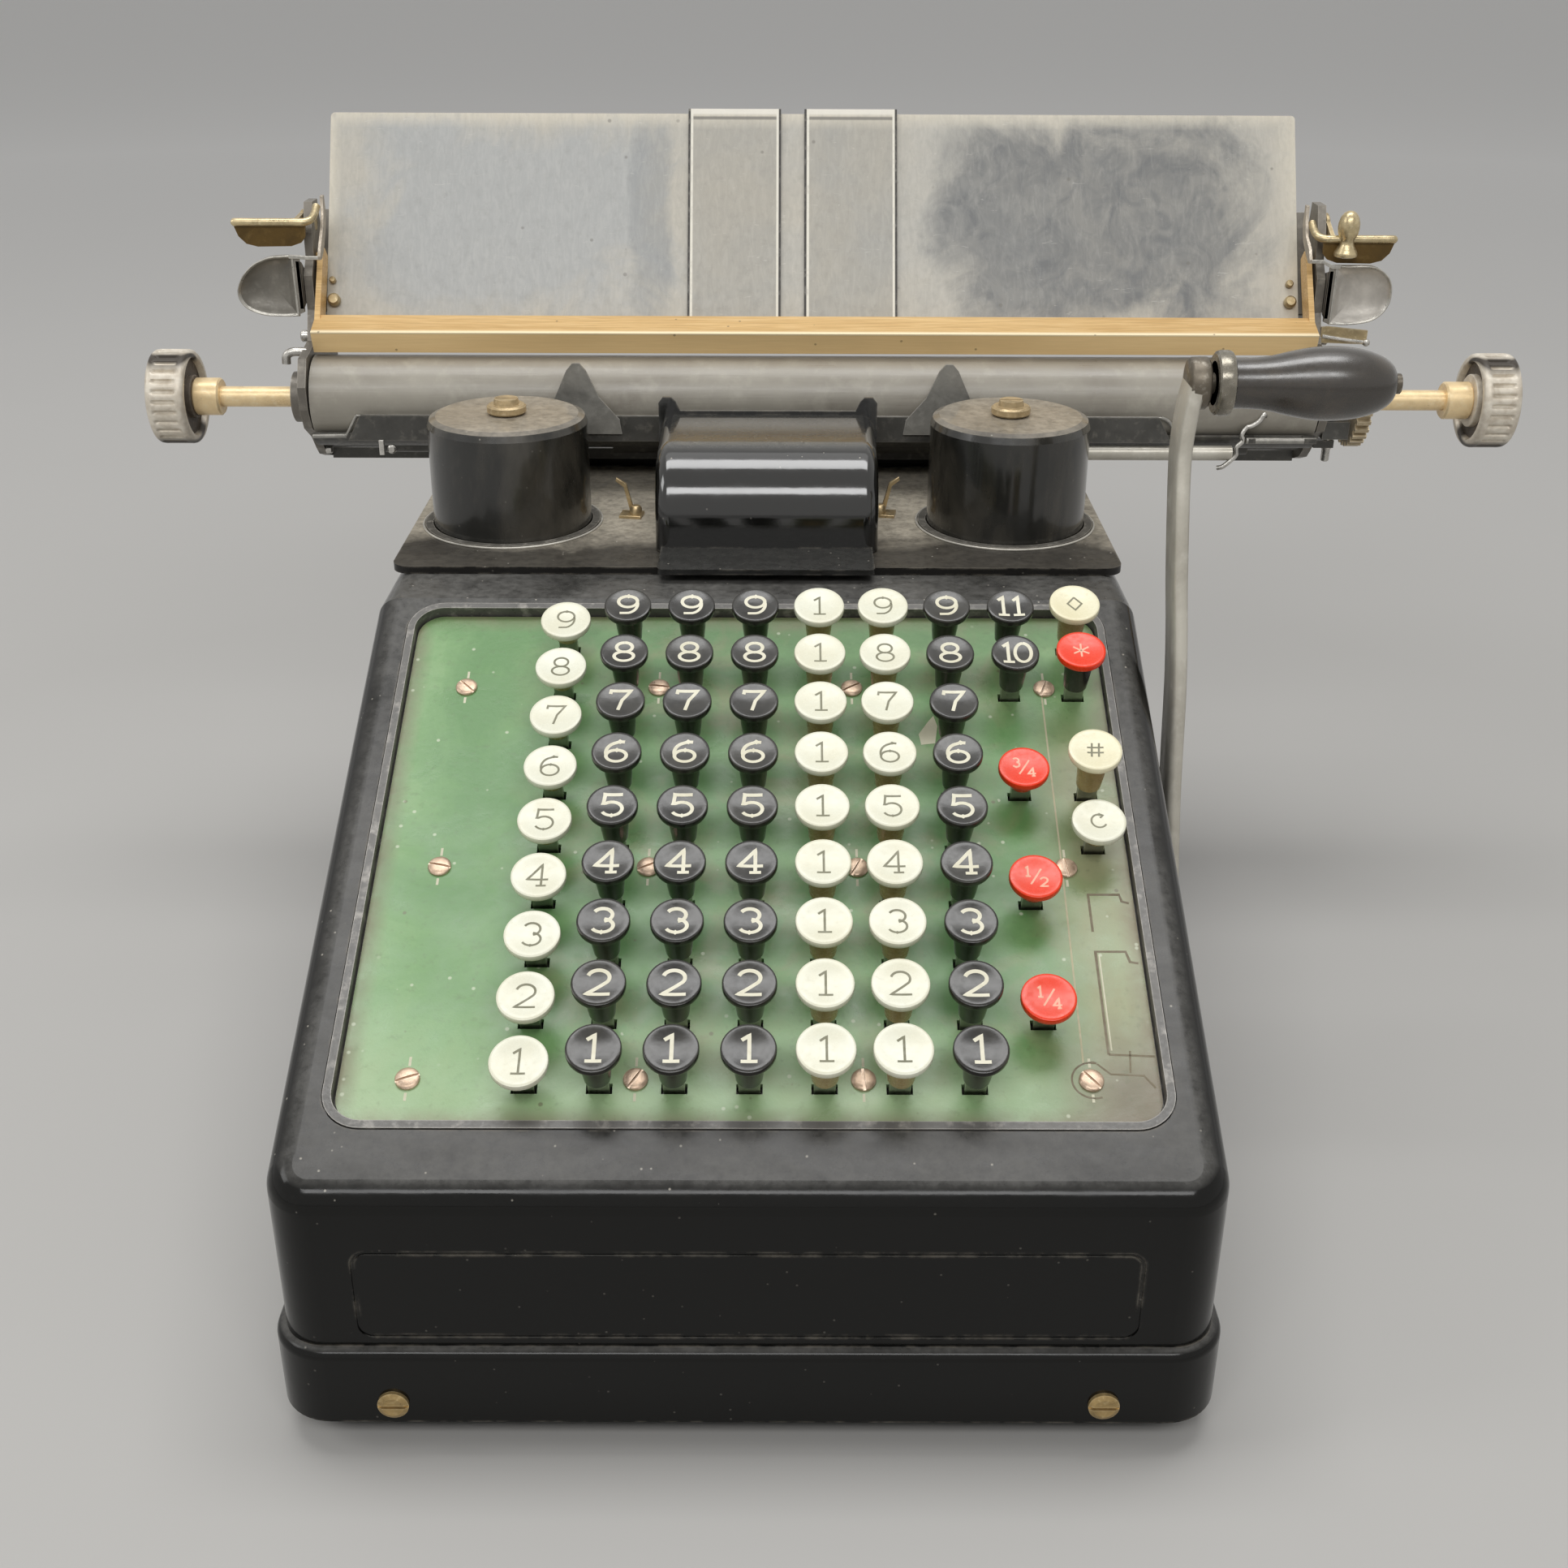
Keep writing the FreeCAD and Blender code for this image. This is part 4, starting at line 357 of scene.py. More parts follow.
def table_steel(name, lines=(), top=None, shade_of=1):
    """Bare sheet steel: a cold cloud to the left, a darker one to the right, warmer and paler at the borders.

    Lines run up it, each a place across, half a width and a colour, such as a guide's painted shadows and highlights.
    Below a top it is bent, with a painted line of shade under the bend and a painted highlight on the bent edge."""
    p = Paint(name)
    x, _, z = p.split(p.place)
    cloud = p.noise(22, 6, 0.62, 0.8)
    fine = p.noise(330, 6, 0.65)
    brush = p.drawn((520, 130, 130), 6, 0.68, 0.9)
    wisp = p.drawn((90, 30, 90), 5, 0.6, 1.4)
    scratch = p.span(p.drawn((170, 900, 900), 3, 0.5, 1.2), 0.69, 0.74)

    def field(middle_x, middle_z, half_x, half_z):
        across = p.times(p.off(x, middle_x * MM), 1 / (half_x * MM))
        along = p.times(p.off(z, middle_z * MM), 1 / (half_z * MM))
        far = p.math("SQRT", p.plus(p.math("POWER", across, 4), p.math("POWER", along, 4)))
        return p.span(p.plus(far, p.span(cloud, 0.3, 0.7, -0.45, 0.55)), 1.15, 0.55)

    border = p.most(p.span(z, 0.284, 0.2885), p.span(z, 0.2225, 0.219))
    border = p.most(border, p.most(p.span(x, -0.154, -0.158), p.span(x, 0.186, 0.196)))
    colour = p.layers(
        tuple(c * shade_of for c in (0.43, 0.42, 0.385)),
        (tuple(c * shade_of for c in (0.48, 0.45, 0.385)), (cloud, 0.3, 0.7)),
        ((0.385, 0.391, 0.384), field(-88, 256, 60, 34), 0.9),
        ((0.27, 0.278, 0.278), field(-40, 256, 9, 36), 0.6),
        ((0.138, 0.143, 0.146), field(127, 254, 60, 36), (wisp, 0.3, 0.62, 1, 0.68), 0.95),
        ((0.66, 0.61, 0.5), border, (fine, 0.3, 0.6, 0.5, 1), 0.8),
        ((0.2, 0.205, 0.2), (brush, 0.44, 0.7), 0.13),
        ((0.72, 0.7, 0.64), (brush, 0.52, 0.34), 0.08),
        ((0.19, 0.185, 0.17), (fine, 0.5, 0.75), 0.18),
        ((0.7, 0.68, 0.62), scratch, 0.25),
        ((0.15, 0.14, 0.12), p.specks(160, 0.14, 0.1), 0.5))
    if top:
        # a painted shadow line under the bend, and a painted highlight on the bent top edge
        colour = p.layers(
            colour,
            ((0.1, 0.098, 0.09), (p.off(z, top - 0.003), 0.0007, 0.0003), 0.7),
            ((0.8, 0.77, 0.69), (z, top - 0.0022, top - 0.0014), 0.7))
    # the lines: painted shadows and highlights along the borders
    for middle, half, shade in lines:
        colour = p.layers(colour, (shade, (p.off(x, middle), half, half * 0.5),
                                   (fine, 0.25, 0.5, 0.55, 1)))
    p.set(Base_Color=colour, Metallic=0.15, Roughness=p.span(fine, 0.3, 0.7, 0.36, 0.52), Specular_IOR_Level=0.4,
          Normal=p.bump(fine, 0.08, 0.0003, p.bump(brush, 0.08, 0.0004)))


def guide_metal(node):
    """The sheet steel of a paper guide, with painted shadows on the outside of its bent borders and painted highlights
    on the bends.
    """
    low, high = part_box(node)
    left, right = low.x - HOME.x, high.x - HOME.x
    # painted shadow and painted highlight colours for the lines along the guide's borders
    shadow, shine = (0.045, 0.042, 0.038), (0.74, 0.71, 0.62)
    painted_border_lines = ((left + 0.0003, 0.0009, shadow), (left + 0.0013, 0.0006, shine),
               (right - 0.0012, 0.0006, shine), (right - 0.0003, 0.0007, shadow))
    table_steel(node + "_steel", painted_border_lines, high.z, 0.84)


def bail_metal():
    """Bronze brushed along its length, with a painted highlight along the crease between its two faces, and painted
    lighter and warmer below it as painted light on the lower face.
    """
    p = Paint("bail_bronze")
    _, y, z = p.split(p.place)
    stain = p.drawn((10, 160, 160), 6, 0.62, 0.3)
    brush = p.drawn((60, 1500, 1500), 5, 0.6, 0.2)
    colour = p.layers(
        (0.61, 0.38, 0.145),
        ((0.77, 0.52, 0.23), (stain, 0.3, 0.7)),
        ((0.36, 0.22, 0.085), (brush, 0.46, 0.7), 0.42),
        ((0.95, 0.76, 0.46), (brush, 0.5, 0.32), 0.25),
        # below the crease: painted lighter and warmer, standing in for light on the lower face
        ((1, 0.74, 0.38), (z, BAIL_CREASE - 0.0003, BAIL_CREASE - 0.0009), 0.7),
        # a painted highlight along the crease
        ((1, 0.86, 0.58), (p.off(z, BAIL_CREASE), 0.0007, 0.0003), (y, 0.1345, 0.133), 0.9),
        ((0.16, 0.1, 0.05), p.specks(260, 0.14, 0.14), 0.6))
    p.set(Base_Color=colour, Metallic=0.2, Roughness=p.span(brush, 0.3, 0.7, 0.28, 0.44),
          Normal=p.bump(brush, 0.12, 0.0003))


def varnish():
    """Black varnish over turned wood, rubbed brown in places."""
    p = Paint("grip_varnish")
    grain = p.drawn((40, 600, 600), 5, 0.6, 0.4)
    fine = p.noise(500, 4, 0.6)
    colour = p.layers(
        (0.022, 0.016, 0.01),
        ((0.09, 0.066, 0.042), (p.noise(70, 5, 0.6, 0.3), 0.5, 0.72), 0.5),
        ((0.05, 0.035, 0.02), (grain, 0.55, 0.7), 0.3))
    p.set(Base_Color=colour, Roughness=p.span(fine, 0.3, 0.7, 0.22, 0.34), Normal=p.bump(grain, 0.06, 0.0004),
          Specular_IOR_Level=0.7, Coat_Weight=0.7, Coat_Roughness=0.2)


# enamels, and metals as colour, rubbed colour, roughness, metallic share, scale of stains, stretch of grain, dark tone

# the case: its dusty film on what looks up is also a painted sheen that stands in for the reflection on its top band
enamel("black_enamel", 0.85, (0.15, 0.146, 0.136), level=0.72, patchy=0.25)
enamel("hood_enamel", 0.5, (0.06, 0.059, 0.053), gloss=0.11, wear=0.4, level=0.94, patchy=0.15, shine=0.55, coat=1)
# the covers: pale streaks of painted sheen for the reflections on their sides, with a dusty haze
enamel("cover_enamel", 0.95, (0.4, 0.35, 0.275), gloss=0.2, base=(0.012, 0.012, 0.01), patchy=0.2, shine=0.5,
       haze_and_sheen=0.75, coat=0.5)
enamel("pan_enamel", 0.12)
enamel("deck_enamel", 0.95, (0.5, 0.45, 0.36), gloss=0.3, base=(0.012, 0.011, 0.01), patchy=0.15,
       dusty_from=(0.058, 0.076))

METALS = (
    ("bezel_enamel", (0.13, 0.125, 0.115), (0.62, 0.58, 0.52), 0.34, 0.1, 60),
    ("cup_metal", (0.16, 0.15, 0.13), (0.66, 0.62, 0.54), 0.4, 0.2, 120),
    ("steel", (0.42, 0.41, 0.38), (0.75, 0.73, 0.68), 0.32, 1, 90),
    ("arm_steel", (0.64, 0.61, 0.53), (0.82, 0.79, 0.71), 0.36, 0.4, 50, (1, 1, 0.1), (0.48, 0.45, 0.38)),
    ("brass", (0.95, 0.74, 0.43), (1, 0.9, 0.66), 0.34, 0.35, 120, (0.2, 1, 1), (0.74, 0.55, 0.3)),
    ("nut_brass", (0.56, 0.42, 0.23), (0.86, 0.74, 0.5), 0.34, 0.4, 200),
    ("screw_gold", (0.5, 0.35, 0.15), (0.84, 0.7, 0.42), 0.34, 0.6, 240),
    ("dull_brass", (0.52, 0.42, 0.27), (0.84, 0.74, 0.54), 0.42, 0.5, 160),
    ("dark_steel", (0.1, 0.097, 0.088), (0.3, 0.28, 0.24), 0.42, 0.4, 70),
    ("spoon_steel", (0.21, 0.195, 0.165), (0.36, 0.34, 0.3), 0.4, 0.3, 70),
    ("spoon_pale", (0.58, 0.545, 0.49), (0.74, 0.7, 0.64), 0.4, 0.3, 60),
    ("spoon_rim", (0.52, 0.5, 0.45), (0.8, 0.78, 0.72), 0.32, 0.6, 220),
    ("spoon_flat", (0.27, 0.25, 0.215), (0.42, 0.4, 0.35), 0.42, 0.3, 90),
    ("lug_metal", (0.48, 0.42, 0.34), (0.8, 0.74, 0.64), 0.36, 0.6, 160),
    ("knob_hollow", (0.13, 0.105, 0.08), (0.34, 0.29, 0.23), 0.6, 0, 160),
    ("lever_brass", (0.46, 0.36, 0.2), (0.84, 0.72, 0.48), 0.36, 0.6, 150),
    ("lever_dark", (0.125, 0.072, 0.014), (0.24, 0.155, 0.05), 0.45, 0.4, 90),
    ("lever_bright", (0.66, 0.54, 0.32), (0.93, 0.84, 0.6), 0.3, 0.75, 180),
    ("guide_brass", (0.62, 0.47, 0.26), (0.88, 0.76, 0.5), 0.32, 0.7, 180),
    ("bright_steel", (0.62, 0.6, 0.56), (0.88, 0.86, 0.8), 0.28, 0.85, 180),
    ("cup_rim", (0.62, 0.59, 0.52), (0.85, 0.82, 0.74), 0.36, 0.2, 60),
    ("lip_steel", (0.38, 0.365, 0.33), (0.6, 0.58, 0.52), 0.36, 0.5, 160),
    ("plate_steel", (0.215, 0.195, 0.165), (0.42, 0.39, 0.33), 0.42, 0.35, 60),
    ("finger_steel", (0.31, 0.3, 0.27), (0.46, 0.44, 0.4), 0.45, 0.3, 90),
    ("rubber", (0.03, 0.03, 0.03), (0.08, 0.08, 0.08), 0.8, 0, 200),
    ("platen_rubber", (0.35, 0.325, 0.272), (0.5, 0.47, 0.395), 0.34, 0, 30, (0.04, 1, 1), (0.275, 0.25, 0.21)),
    ("screw_brass", (0.68, 0.5, 0.36), (0.9, 0.76, 0.62), 0.34, 0.5, 300),
    ("knuckle_steel", (0.17, 0.145, 0.11), (0.6, 0.56, 0.48), 0.36, 0.5, 120),
    ("grip_steel", (0.3, 0.275, 0.225), (0.74, 0.71, 0.64), 0.24, 0.75, 130),
)
for numbers in METALS:
    worn_metal(*numbers)

BONES = (
    ("white_key", (0.8, 0.8, 0.66), (0.74, 0.71, 0.53)),
    ("cream_key", (0.84, 0.8, 0.58), (0.76, 0.69, 0.44)),
    ("key_neck", (0.5, 0.37, 0.17), (0.34, 0.23, 0.1)),
    ("black_key", (0.015, 0.0145, 0.013), (0.045, 0.042, 0.034), 0.16),
    ("red_key", (0.88, 0.036, 0.003), (0.76, 0.05, 0.008)),
    ("sign_dark", (0.17, 0.165, 0.1), (0.26, 0.25, 0.17), 0.4),
    ("sign_cream", (0.8, 0.77, 0.62), (0.66, 0.62, 0.46), 0.4),
    ("sign_pink", (0.88, 0.5, 0.36), (0.86, 0.42, 0.28), 0.4),
    ("mark_olive", (0.5, 0.46, 0.3), (0.4, 0.38, 0.24), 0.5),
    ("mark_dark", (0.16, 0.13, 0.08), (0.22, 0.19, 0.12), 0.5),
    ("mark_cream", (0.66, 0.64, 0.48), (0.52, 0.5, 0.36), 0.5),
)
for numbers in BONES:
    bone(*numbers)

knob_metal()
green_plate()
bail_metal()
varnish()
table_steel("table_steel")


def dress(material, *names):
    for name in names:
        data = nodes[name].data
        data.materials.clear()
        data.materials.append(looks[material])


dress("steel", *nodes)
WORN = {
    "black_enamel": "body_shell carriage_rails",
    "hood_enamel": "type_cover",
    "cover_enamel": "left_ribbon_cover right_ribbon_cover",
    "pan_enamel": "base_pan rear_cover",
    "deck_enamel": "deck_plate",
    "rubber": "rubber_feet",
    "bezel_enamel": "keyboard_trim_ring",
    "cup_metal": "ribbon_cups",
    "plate_green": "keyboard_plate",
    "brass": "platen_shaft",
    "nut_brass": "left_cover_nut right_cover_nut",
    "screw_gold": "case_screws",
    "dull_brass": "left_carriage_lever right_carriage_lever line_space_ratchet",
    "arm_steel": "tie_rods",
    "dark_steel": "carriage_bed paper_pan paper_shield pressure_rollers crank_bushing",
    "plate_steel": "left_end_plate right_end_plate",
    "finger_steel": "card_fingers",
    "spoon_steel": "left_release_lever right_release_lever",
    "knob_paint": "left_platen_knob right_platen_knob",
    "bail_bronze": "paper_bail",
    "platen_rubber": "platen",
    "table_steel": "paper_table",
}
for look, names in WORN.items():
    dress(look, *names.split())
for guide in ("left_paper_guide", "right_paper_guide"):
    guide_metal(guide)
    dress(guide + "_steel", guide)


# pieces of the scene are gathered as points and faces, in millimetres

def smooth_line(points, parts):
    """Points of a smooth curve through the given ones."""
    result = []
    last = len(points) - 1
    for i in range(last):
        near = (points[max(i - 1, 0)], points[i], points[i + 1], points[min(i + 2, last)])
        for j in range(parts):
            t = j / parts
            blend = (-t + 2 * t * t - t ** 3, 2 - 5 * t * t + 3 * t ** 3, t + 4 * t * t - 3 * t ** 3, -t * t + t ** 3)
            result.append(tuple(sum(w * p[n] for w, p in zip(blend, near)) / 2 for n in range(len(near[0]))))
    return result + [points[-1]]


def ring_faces(rings):
    """Faces between closed rings of point numbers, one below the other. A ring may be one point, repeated."""
    faces = []
    steps = len(rings[0])
    for upper, lower in zip(rings, rings[1:]):
        for i in range(steps):
            j = (i + 1) % steps
            faces.append(tuple(dict.fromkeys((upper[i], lower[i], lower[j], upper[j]))))
    return faces


def prism_faces(count):
    """The faces of two equal outlines, numbered one after the other, and of the wall between them."""
    faces = [tuple(range(count)), tuple(reversed(range(count, 2 * count)))]
    return faces + [(i, i + count, (i + 1) % count + count, (i + 1) % count) for i in range(count)]


def tube_faces(parts, steps):
    """The faces of a closed tube of some parts, with so many corners around."""
    faces = []
    for a in range(0, parts * steps, steps):
        for j in range(steps):
            k = (j + 1) % steps
            faces.append((a + j, a + k, a + steps + k, a + steps + j))
    return faces + [tuple(reversed(range(steps))), tuple(range(parts * steps, parts * steps + steps))]


class Shape:
    """A piece in the making. The kind of a face is the number of its material in the piece."""

    def __init__(self):
        self.points, self.faces, self.kinds = [], [], []

    def add(self, points, faces, kind, place=Matrix.Identity(4)):
        start = len(self.points)
        self.points += [place @ Vector(point) for point in points]
        self.faces += [tuple(start + i for i in face) for face in faces]
        self.kinds += [kind] * len(faces)

    def turn(self, profile, turns, kind, place):
        """A turned form: its profile goes from the top of the axis to the bottom, as radius, height and groove depth.

        The turns give an angle and the share of the groove's depth there."""
        points, rings = [], []
        for radius, height, depth in profile:
            if radius < 1e-6:
                rings.append([len(points)] * len(turns))
                points.append((0, 0, height))
                continue
            rings.append([len(points) + i for i in range(len(turns))])
            for angle, share in turns:
                far = radius - depth * share
                points.append((far * cos(angle), far * sin(angle), height))
        self.add(points, ring_faces(rings), kind, place)

    def lathe(self, profile, kind, place, steps):
        """A smooth turned form, its profile given as radius and height."""
        self.turn([(*spot, 0) for spot in profile], [(2 * pi * i / steps, 0) for i in range(steps)], kind, place)

    def wheel(self, profile, ribs, kind, place):
        """A milled drum with grooves between its ribs."""
        groove = ((0, 0), (0.15, 0.03), (0.26, 0.16), (0.33, 0.6), (0.4, 0.93), (0.5, 1), (0.6, 0.93), (0.67, 0.6),
                  (0.74, 0.16), (0.85, 0.03))
        turns = [(2 * pi * (rib + share) / ribs, deep) for rib in range(ribs) for share, deep in groove]
        self.turn(profile, turns, kind, place)

    def slab(self, outline, low, high, axis, kind):
        """A sheet of case places: an outline square to an axis, from one height to another."""
        points = [at(*{"X": (height, a, b), "Y": (a, height, b), "Z": (a, b, height)}[axis])
                  for height in (low, high) for a, b in outline]
        self.add(points, prism_faces(len(outline)), kind)

    def block(self, low, high, kind, place):
        """A plain box between two corners."""
        points = [(x, y, z) for x in (low[0], high[0]) for y in (low[1], high[1]) for z in (low[2], high[2])]
        faces = [(0, 1, 3, 2), (4, 6, 7, 5), (0, 4, 5, 1), (2, 3, 7, 6), (0, 2, 6, 4), (1, 5, 7, 3)]
        self.add(points, faces, kind, place)

    def disc(self, x, y, z, profile, kind, side=1, steps=36):
        """A turned form on a level axis across the machine, its heights measured outward on one side."""
        self.lathe(profile, kind, lying(at(x, y, z), side), steps)

    def strip(self, line, width, ground, kind, place, high=0.04, low=-0.1):
        """A painted or inlaid line of some width, closed all round, that follows a ground height."""
        points = []
        last = len(line) - 1
        for i, (x, y) in enumerate(line):
            ax, ay = line[max(i - 1, 0)]
            bx, by = line[min(i + 1, last)]
            length = hypot(bx - ax, by - ay) or 1
            nx, ny = -(by - ay) / length, (bx - ax) / length
            spread = width / 2
            if 0 < i < last:
                turn = atan2(by - y, bx - x) - atan2(y - ay, x - ax)
                spread /= max(cos(turn / 2), 0.6)
            for side, height in ((1, high), (1, low), (-1, low), (-1, high)):
                px, py = x + side * nx * spread, y + side * ny * spread
                points.append((px, py, ground(px, py) + height))
        self.add(points, tube_faces(last, 4), kind, place)

    def wire(self, line, radius, kind, parts=5, steps=12):
        """A bent rod or wire through places of the case."""
        line = [Vector(point) for point in (smooth_line(line, parts) if len(line) > 2 else line)]
        last = len(line) - 1
        points = []
        side = None
        for i, centre in enumerate(line):
            ahead = (line[min(i + 1, last)] - line[max(i - 1, 0)]).normalized()
            side = side or ahead.orthogonal().normalized()
            side = (side - side.dot(ahead) * ahead).normalized()
            other = ahead.cross(side)
            for j in range(steps):
                turn = 2 * pi * j / steps
                points.append(centre + radius * (cos(turn) * side + sin(turn) * other))
        self.add(points, tube_faces(last, steps), kind, standing(0, 0, 0))

    def finish(self, name, body, materials, replaced=(), sharp=35, rounded=0):
        mesh = bpy.data.meshes.new(name)
        mesh.from_pydata(self.points, [], self.faces)
        for material in materials:
            mesh.materials.append(looks[material])
        mesh.polygons.foreach_set("material_index", self.kinds)
        build = bmesh.new()
        build.from_mesh(mesh)
        bmesh.ops.recalc_face_normals(build, faces=build.faces)
        build.to_mesh(mesh)
        build.free()
        mesh.shade_smooth()
        mesh.set_sharp_from_angle(angle=radians(sharp))
        piece = new_object(name, mesh)
        if replaced:
            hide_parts(*replaced)
        if rounded:
            bevel = piece.modifiers.new("rounding", "BEVEL")
            bevel.width = rounded * MM
            bevel.segments = 2
            bevel.limit_method = "ANGLE"
            bevel.angle_limit = radians(40)
            bevel.use_clamp_overlap = True
        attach(piece, body)


# the strokes of the digits and signs, in a box about one unit high round their middle

def bow(x, y, rx, ry, first, last, steps):
    turns = [radians(first + (last - first) * i / steps) for i in range(steps + 1)]
    return [(x + rx * cos(turn), y + ry * sin(turn)) for turn in turns]


SIGNS = {
    "0": [bow(0, 0, 0.34, 0.46, 90, 450, 26)],
    "1": [[(-0.2, 0.3), (0.02, 0.46), (0.02, -0.46)], [(-0.22, -0.46), (0.26, -0.46)]],
    "2": [bow(0, 0.19, 0.32, 0.27, 165, -35, 16) + [(-0.34, -0.44), (0.36, -0.44)]],
    "3": [bow(-0.02, 0.22, 0.29, 0.24, 150, -80, 14), bow(-0.02, -0.2, 0.33, 0.27, 82, -150, 16)],
    "4": [[(0.12, -0.46), (0.12, 0.46), (-0.38, -0.18), (0.36, -0.18)], [(-0.06, -0.46), (0.3, -0.46)]],
    "5": [[(0.32, 0.44), (-0.24, 0.44), (-0.28, 0.06)] + bow(-0.01, -0.16, 0.33, 0.3, 128, -150, 18)],
    "6": [[(0.26, 0.42), (0.1, 0.44)] + bow(0.06, -0.04, 0.4, 0.44, 105, 190, 10)
          + bow(0, -0.19, 0.33, 0.27, 170, 530, 22)],
    "7": [[(-0.34, 0.3), (-0.32, 0.44), (0.34, 0.44), (0.05, 0.02), (-0.06, -0.46)]],
    "8": [bow(0, 0.23, 0.27, 0.22, 90, 450, 20), bow(0, -0.22, 0.33, 0.24, 90, 450, 22)],
    "9": [bow(0, 0.19, 0.33, 0.27, -10, 350, 22) + bow(-0.06, 0.04, 0.4, 0.46, 10, -75, 10) + [(-0.26, -0.42)]],
    "diamond": [[(0, 0.42), (0.34, 0), (0, -0.42), (-0.34, 0), (0, 0.42)]],
    "star": [[(0, 0.42), (0, -0.42)], [(-0.36, 0.21), (0.36, -0.21)], [(-0.36, -0.21), (0.36, 0.21)]],
    "hash": [[(-0.12, 0.4), (-0.2, -0.4)], [(0.2, 0.4), (0.12, -0.4)],
             [(-0.36, 0.15), (0.38, 0.15)], [(-0.38, -0.15), (0.36, -0.15)]],
    "again": [bow(0, 0, 0.34, 0.36, 60, 330, 22), [(0.06, 0.18), (0.19, 0.31), (0.02, 0.4)]],
}


def fine_line(line, step=0.5):
    """The line with points added, so that it can follow a curved ground."""
    result = [line[0]]
    for (ax, ay), (bx, by) in zip(line, line[1:]):
        parts = max(1, ceil(hypot(bx - ax, by - ay) / step))
        result += [(ax + (bx - ax) * i / parts, ay + (by - ay) * i / parts) for i in range(1, parts + 1)]
    return result


def sign(shape, name, width, height, stroke, ground, place, x=0, y=0):
    for line in SIGNS[name]:
        sized = [(x + width * px, y + height * py) for px, py in line]
        shape.strip(fine_line(sized), stroke, ground, 2, place)


# the keys stand in nine columns and on nine rows, each on its own stem

PITCH = 19.05
FIRST_ROW, ROWS = 10.4, 9
FOURTH_COLUMN, TEN_SHILLINGS, PENCE, FARTHINGS, ACTIONS = 3, 4, 6, 7, 8
TALL, SHORT, RAISED = 20, 13.7, 21.3
DISH = 0.55
CAP_EDGE = 0.9
RIM_THICK = 2.2
CONE = 2.4
STEM_HALF = (2.75, 0.9)
NECK_FOOT, STEM_FOOT = 6, -27
KEY_STEPS = 44
FARTHING_RADIUS = 7.2

# slot, width of the stroke, size of a sign, and the materials of cap, neck and sign
WHITE = ("white_key", 0.62, (7.6, 7.6), "white_key", "key_neck", "sign_dark")
BLACK = ("black_key", 1, (8.6, 8), "black_key", "black_key", "sign_cream")
PLAIN = ("white_key", 0.55, (6.2, 6.2), "white_key", "key_neck", "sign_dark")
CREAM = ("white_key", 0.55, (6.2, 6.2), "cream_key", "key_neck", "sign_dark")
RED = ("red_key", 0.55, (6.2, 6.2), "red_key", "black_key", "sign_pink")


def key_place(k, i, height):
    return on_board((k - FOURTH_COLUMN) * PITCH, FIRST_ROW + (PITCH + 0.1) * i, height)


def dish(radius):
    """The hollow of a cap: deepest in the middle, flat at its rim."""
    def ground(x, y):
        share = min(1, hypot(x, y) / (radius - CAP_EDGE))
        return -DISH * (1 - share * share) ** 1.2

    return ground


def key(shape, k, i, height, radius, signs, stroke, size):
    """One key: cap in material 0, neck in 1, sign in 2 and stem in 3."""
    place = key_place(k, i, height)
    ground = dish(radius)
    dished = [(radius - CAP_EDGE) * j / 7 for j in range(8)]
    profile = [(out, ground(out, 0)) for out in dished]
    profile += [(radius - 0.45, 0), (radius - 0.12, -0.16), (radius, -0.5), (radius, -RIM_THICK + 0.5),
                (radius - 0.15, -RIM_THICK + 0.1), (radius - 0.5, -RIM_THICK)]
    shape.lathe(profile, 0, place, KEY_STEPS)
    foot = NECK_FOOT - height
    neck = [(radius - 0.5, -RIM_THICK), (radius - 1.4, -RIM_THICK - 0.5), (4.9, -RIM_THICK - CONE + 0.4),
            (4.2, -RIM_THICK - CONE), (3.9, (foot - RIM_THICK - CONE) / 2), (3.5, foot + 0.3), (3.2, foot), (0, foot)]
    shape.lathe(neck, 1, place, KEY_STEPS)
    across, along = STEM_HALF
    shape.block((-across, -along, STEM_FOOT - height), (across, along, foot + 0.05), 3, place)
    width = size[0] * (0.8 if len(signs) > 1 else 1)
    for number, name in enumerate(signs):
        middle = 0.52 * size[0] * (number - (len(signs) - 1) / 2)
        sign(shape, name, width, size[1], stroke, ground, place, middle)


def key_bank(node, keys, slot, stroke, size, *materials):
    shape = Shape()
    for numbers in keys:
        key(shape, *numbers, stroke, size)
    shape.finish(node + "_look", node + "_bank", [*materials, "steel"], [node])


def add_farthings():
    shape = Shape()
    ground = dish(FARTHING_RADIUS)
    for i, over, under in ((1, "1", "4"), (3, "1", "2"), (5, "3", "4")):
        key(shape, FARTHINGS, i, SHORT, FARTHING_RADIUS, "", 0, (1, 1))
        place = key_place(FARTHINGS, i, SHORT)
        sign(shape, over, 2.9, 3.3, 0.55, ground, place, -2.1, 1.7)
        sign(shape, under, 2.9, 3.3, 0.55, ground, place, 2.1, -1.8)
        shape.strip(fine_line([(-1.5, -2.5), (1.6, 2.6)]), 0.5, ground, 2, place)
    shape.finish("farthing_keys_look", "farthing_keys_bank", ["red_key", "red_key", "sign_pink", "steel"],
                 ["farthing_keys"])


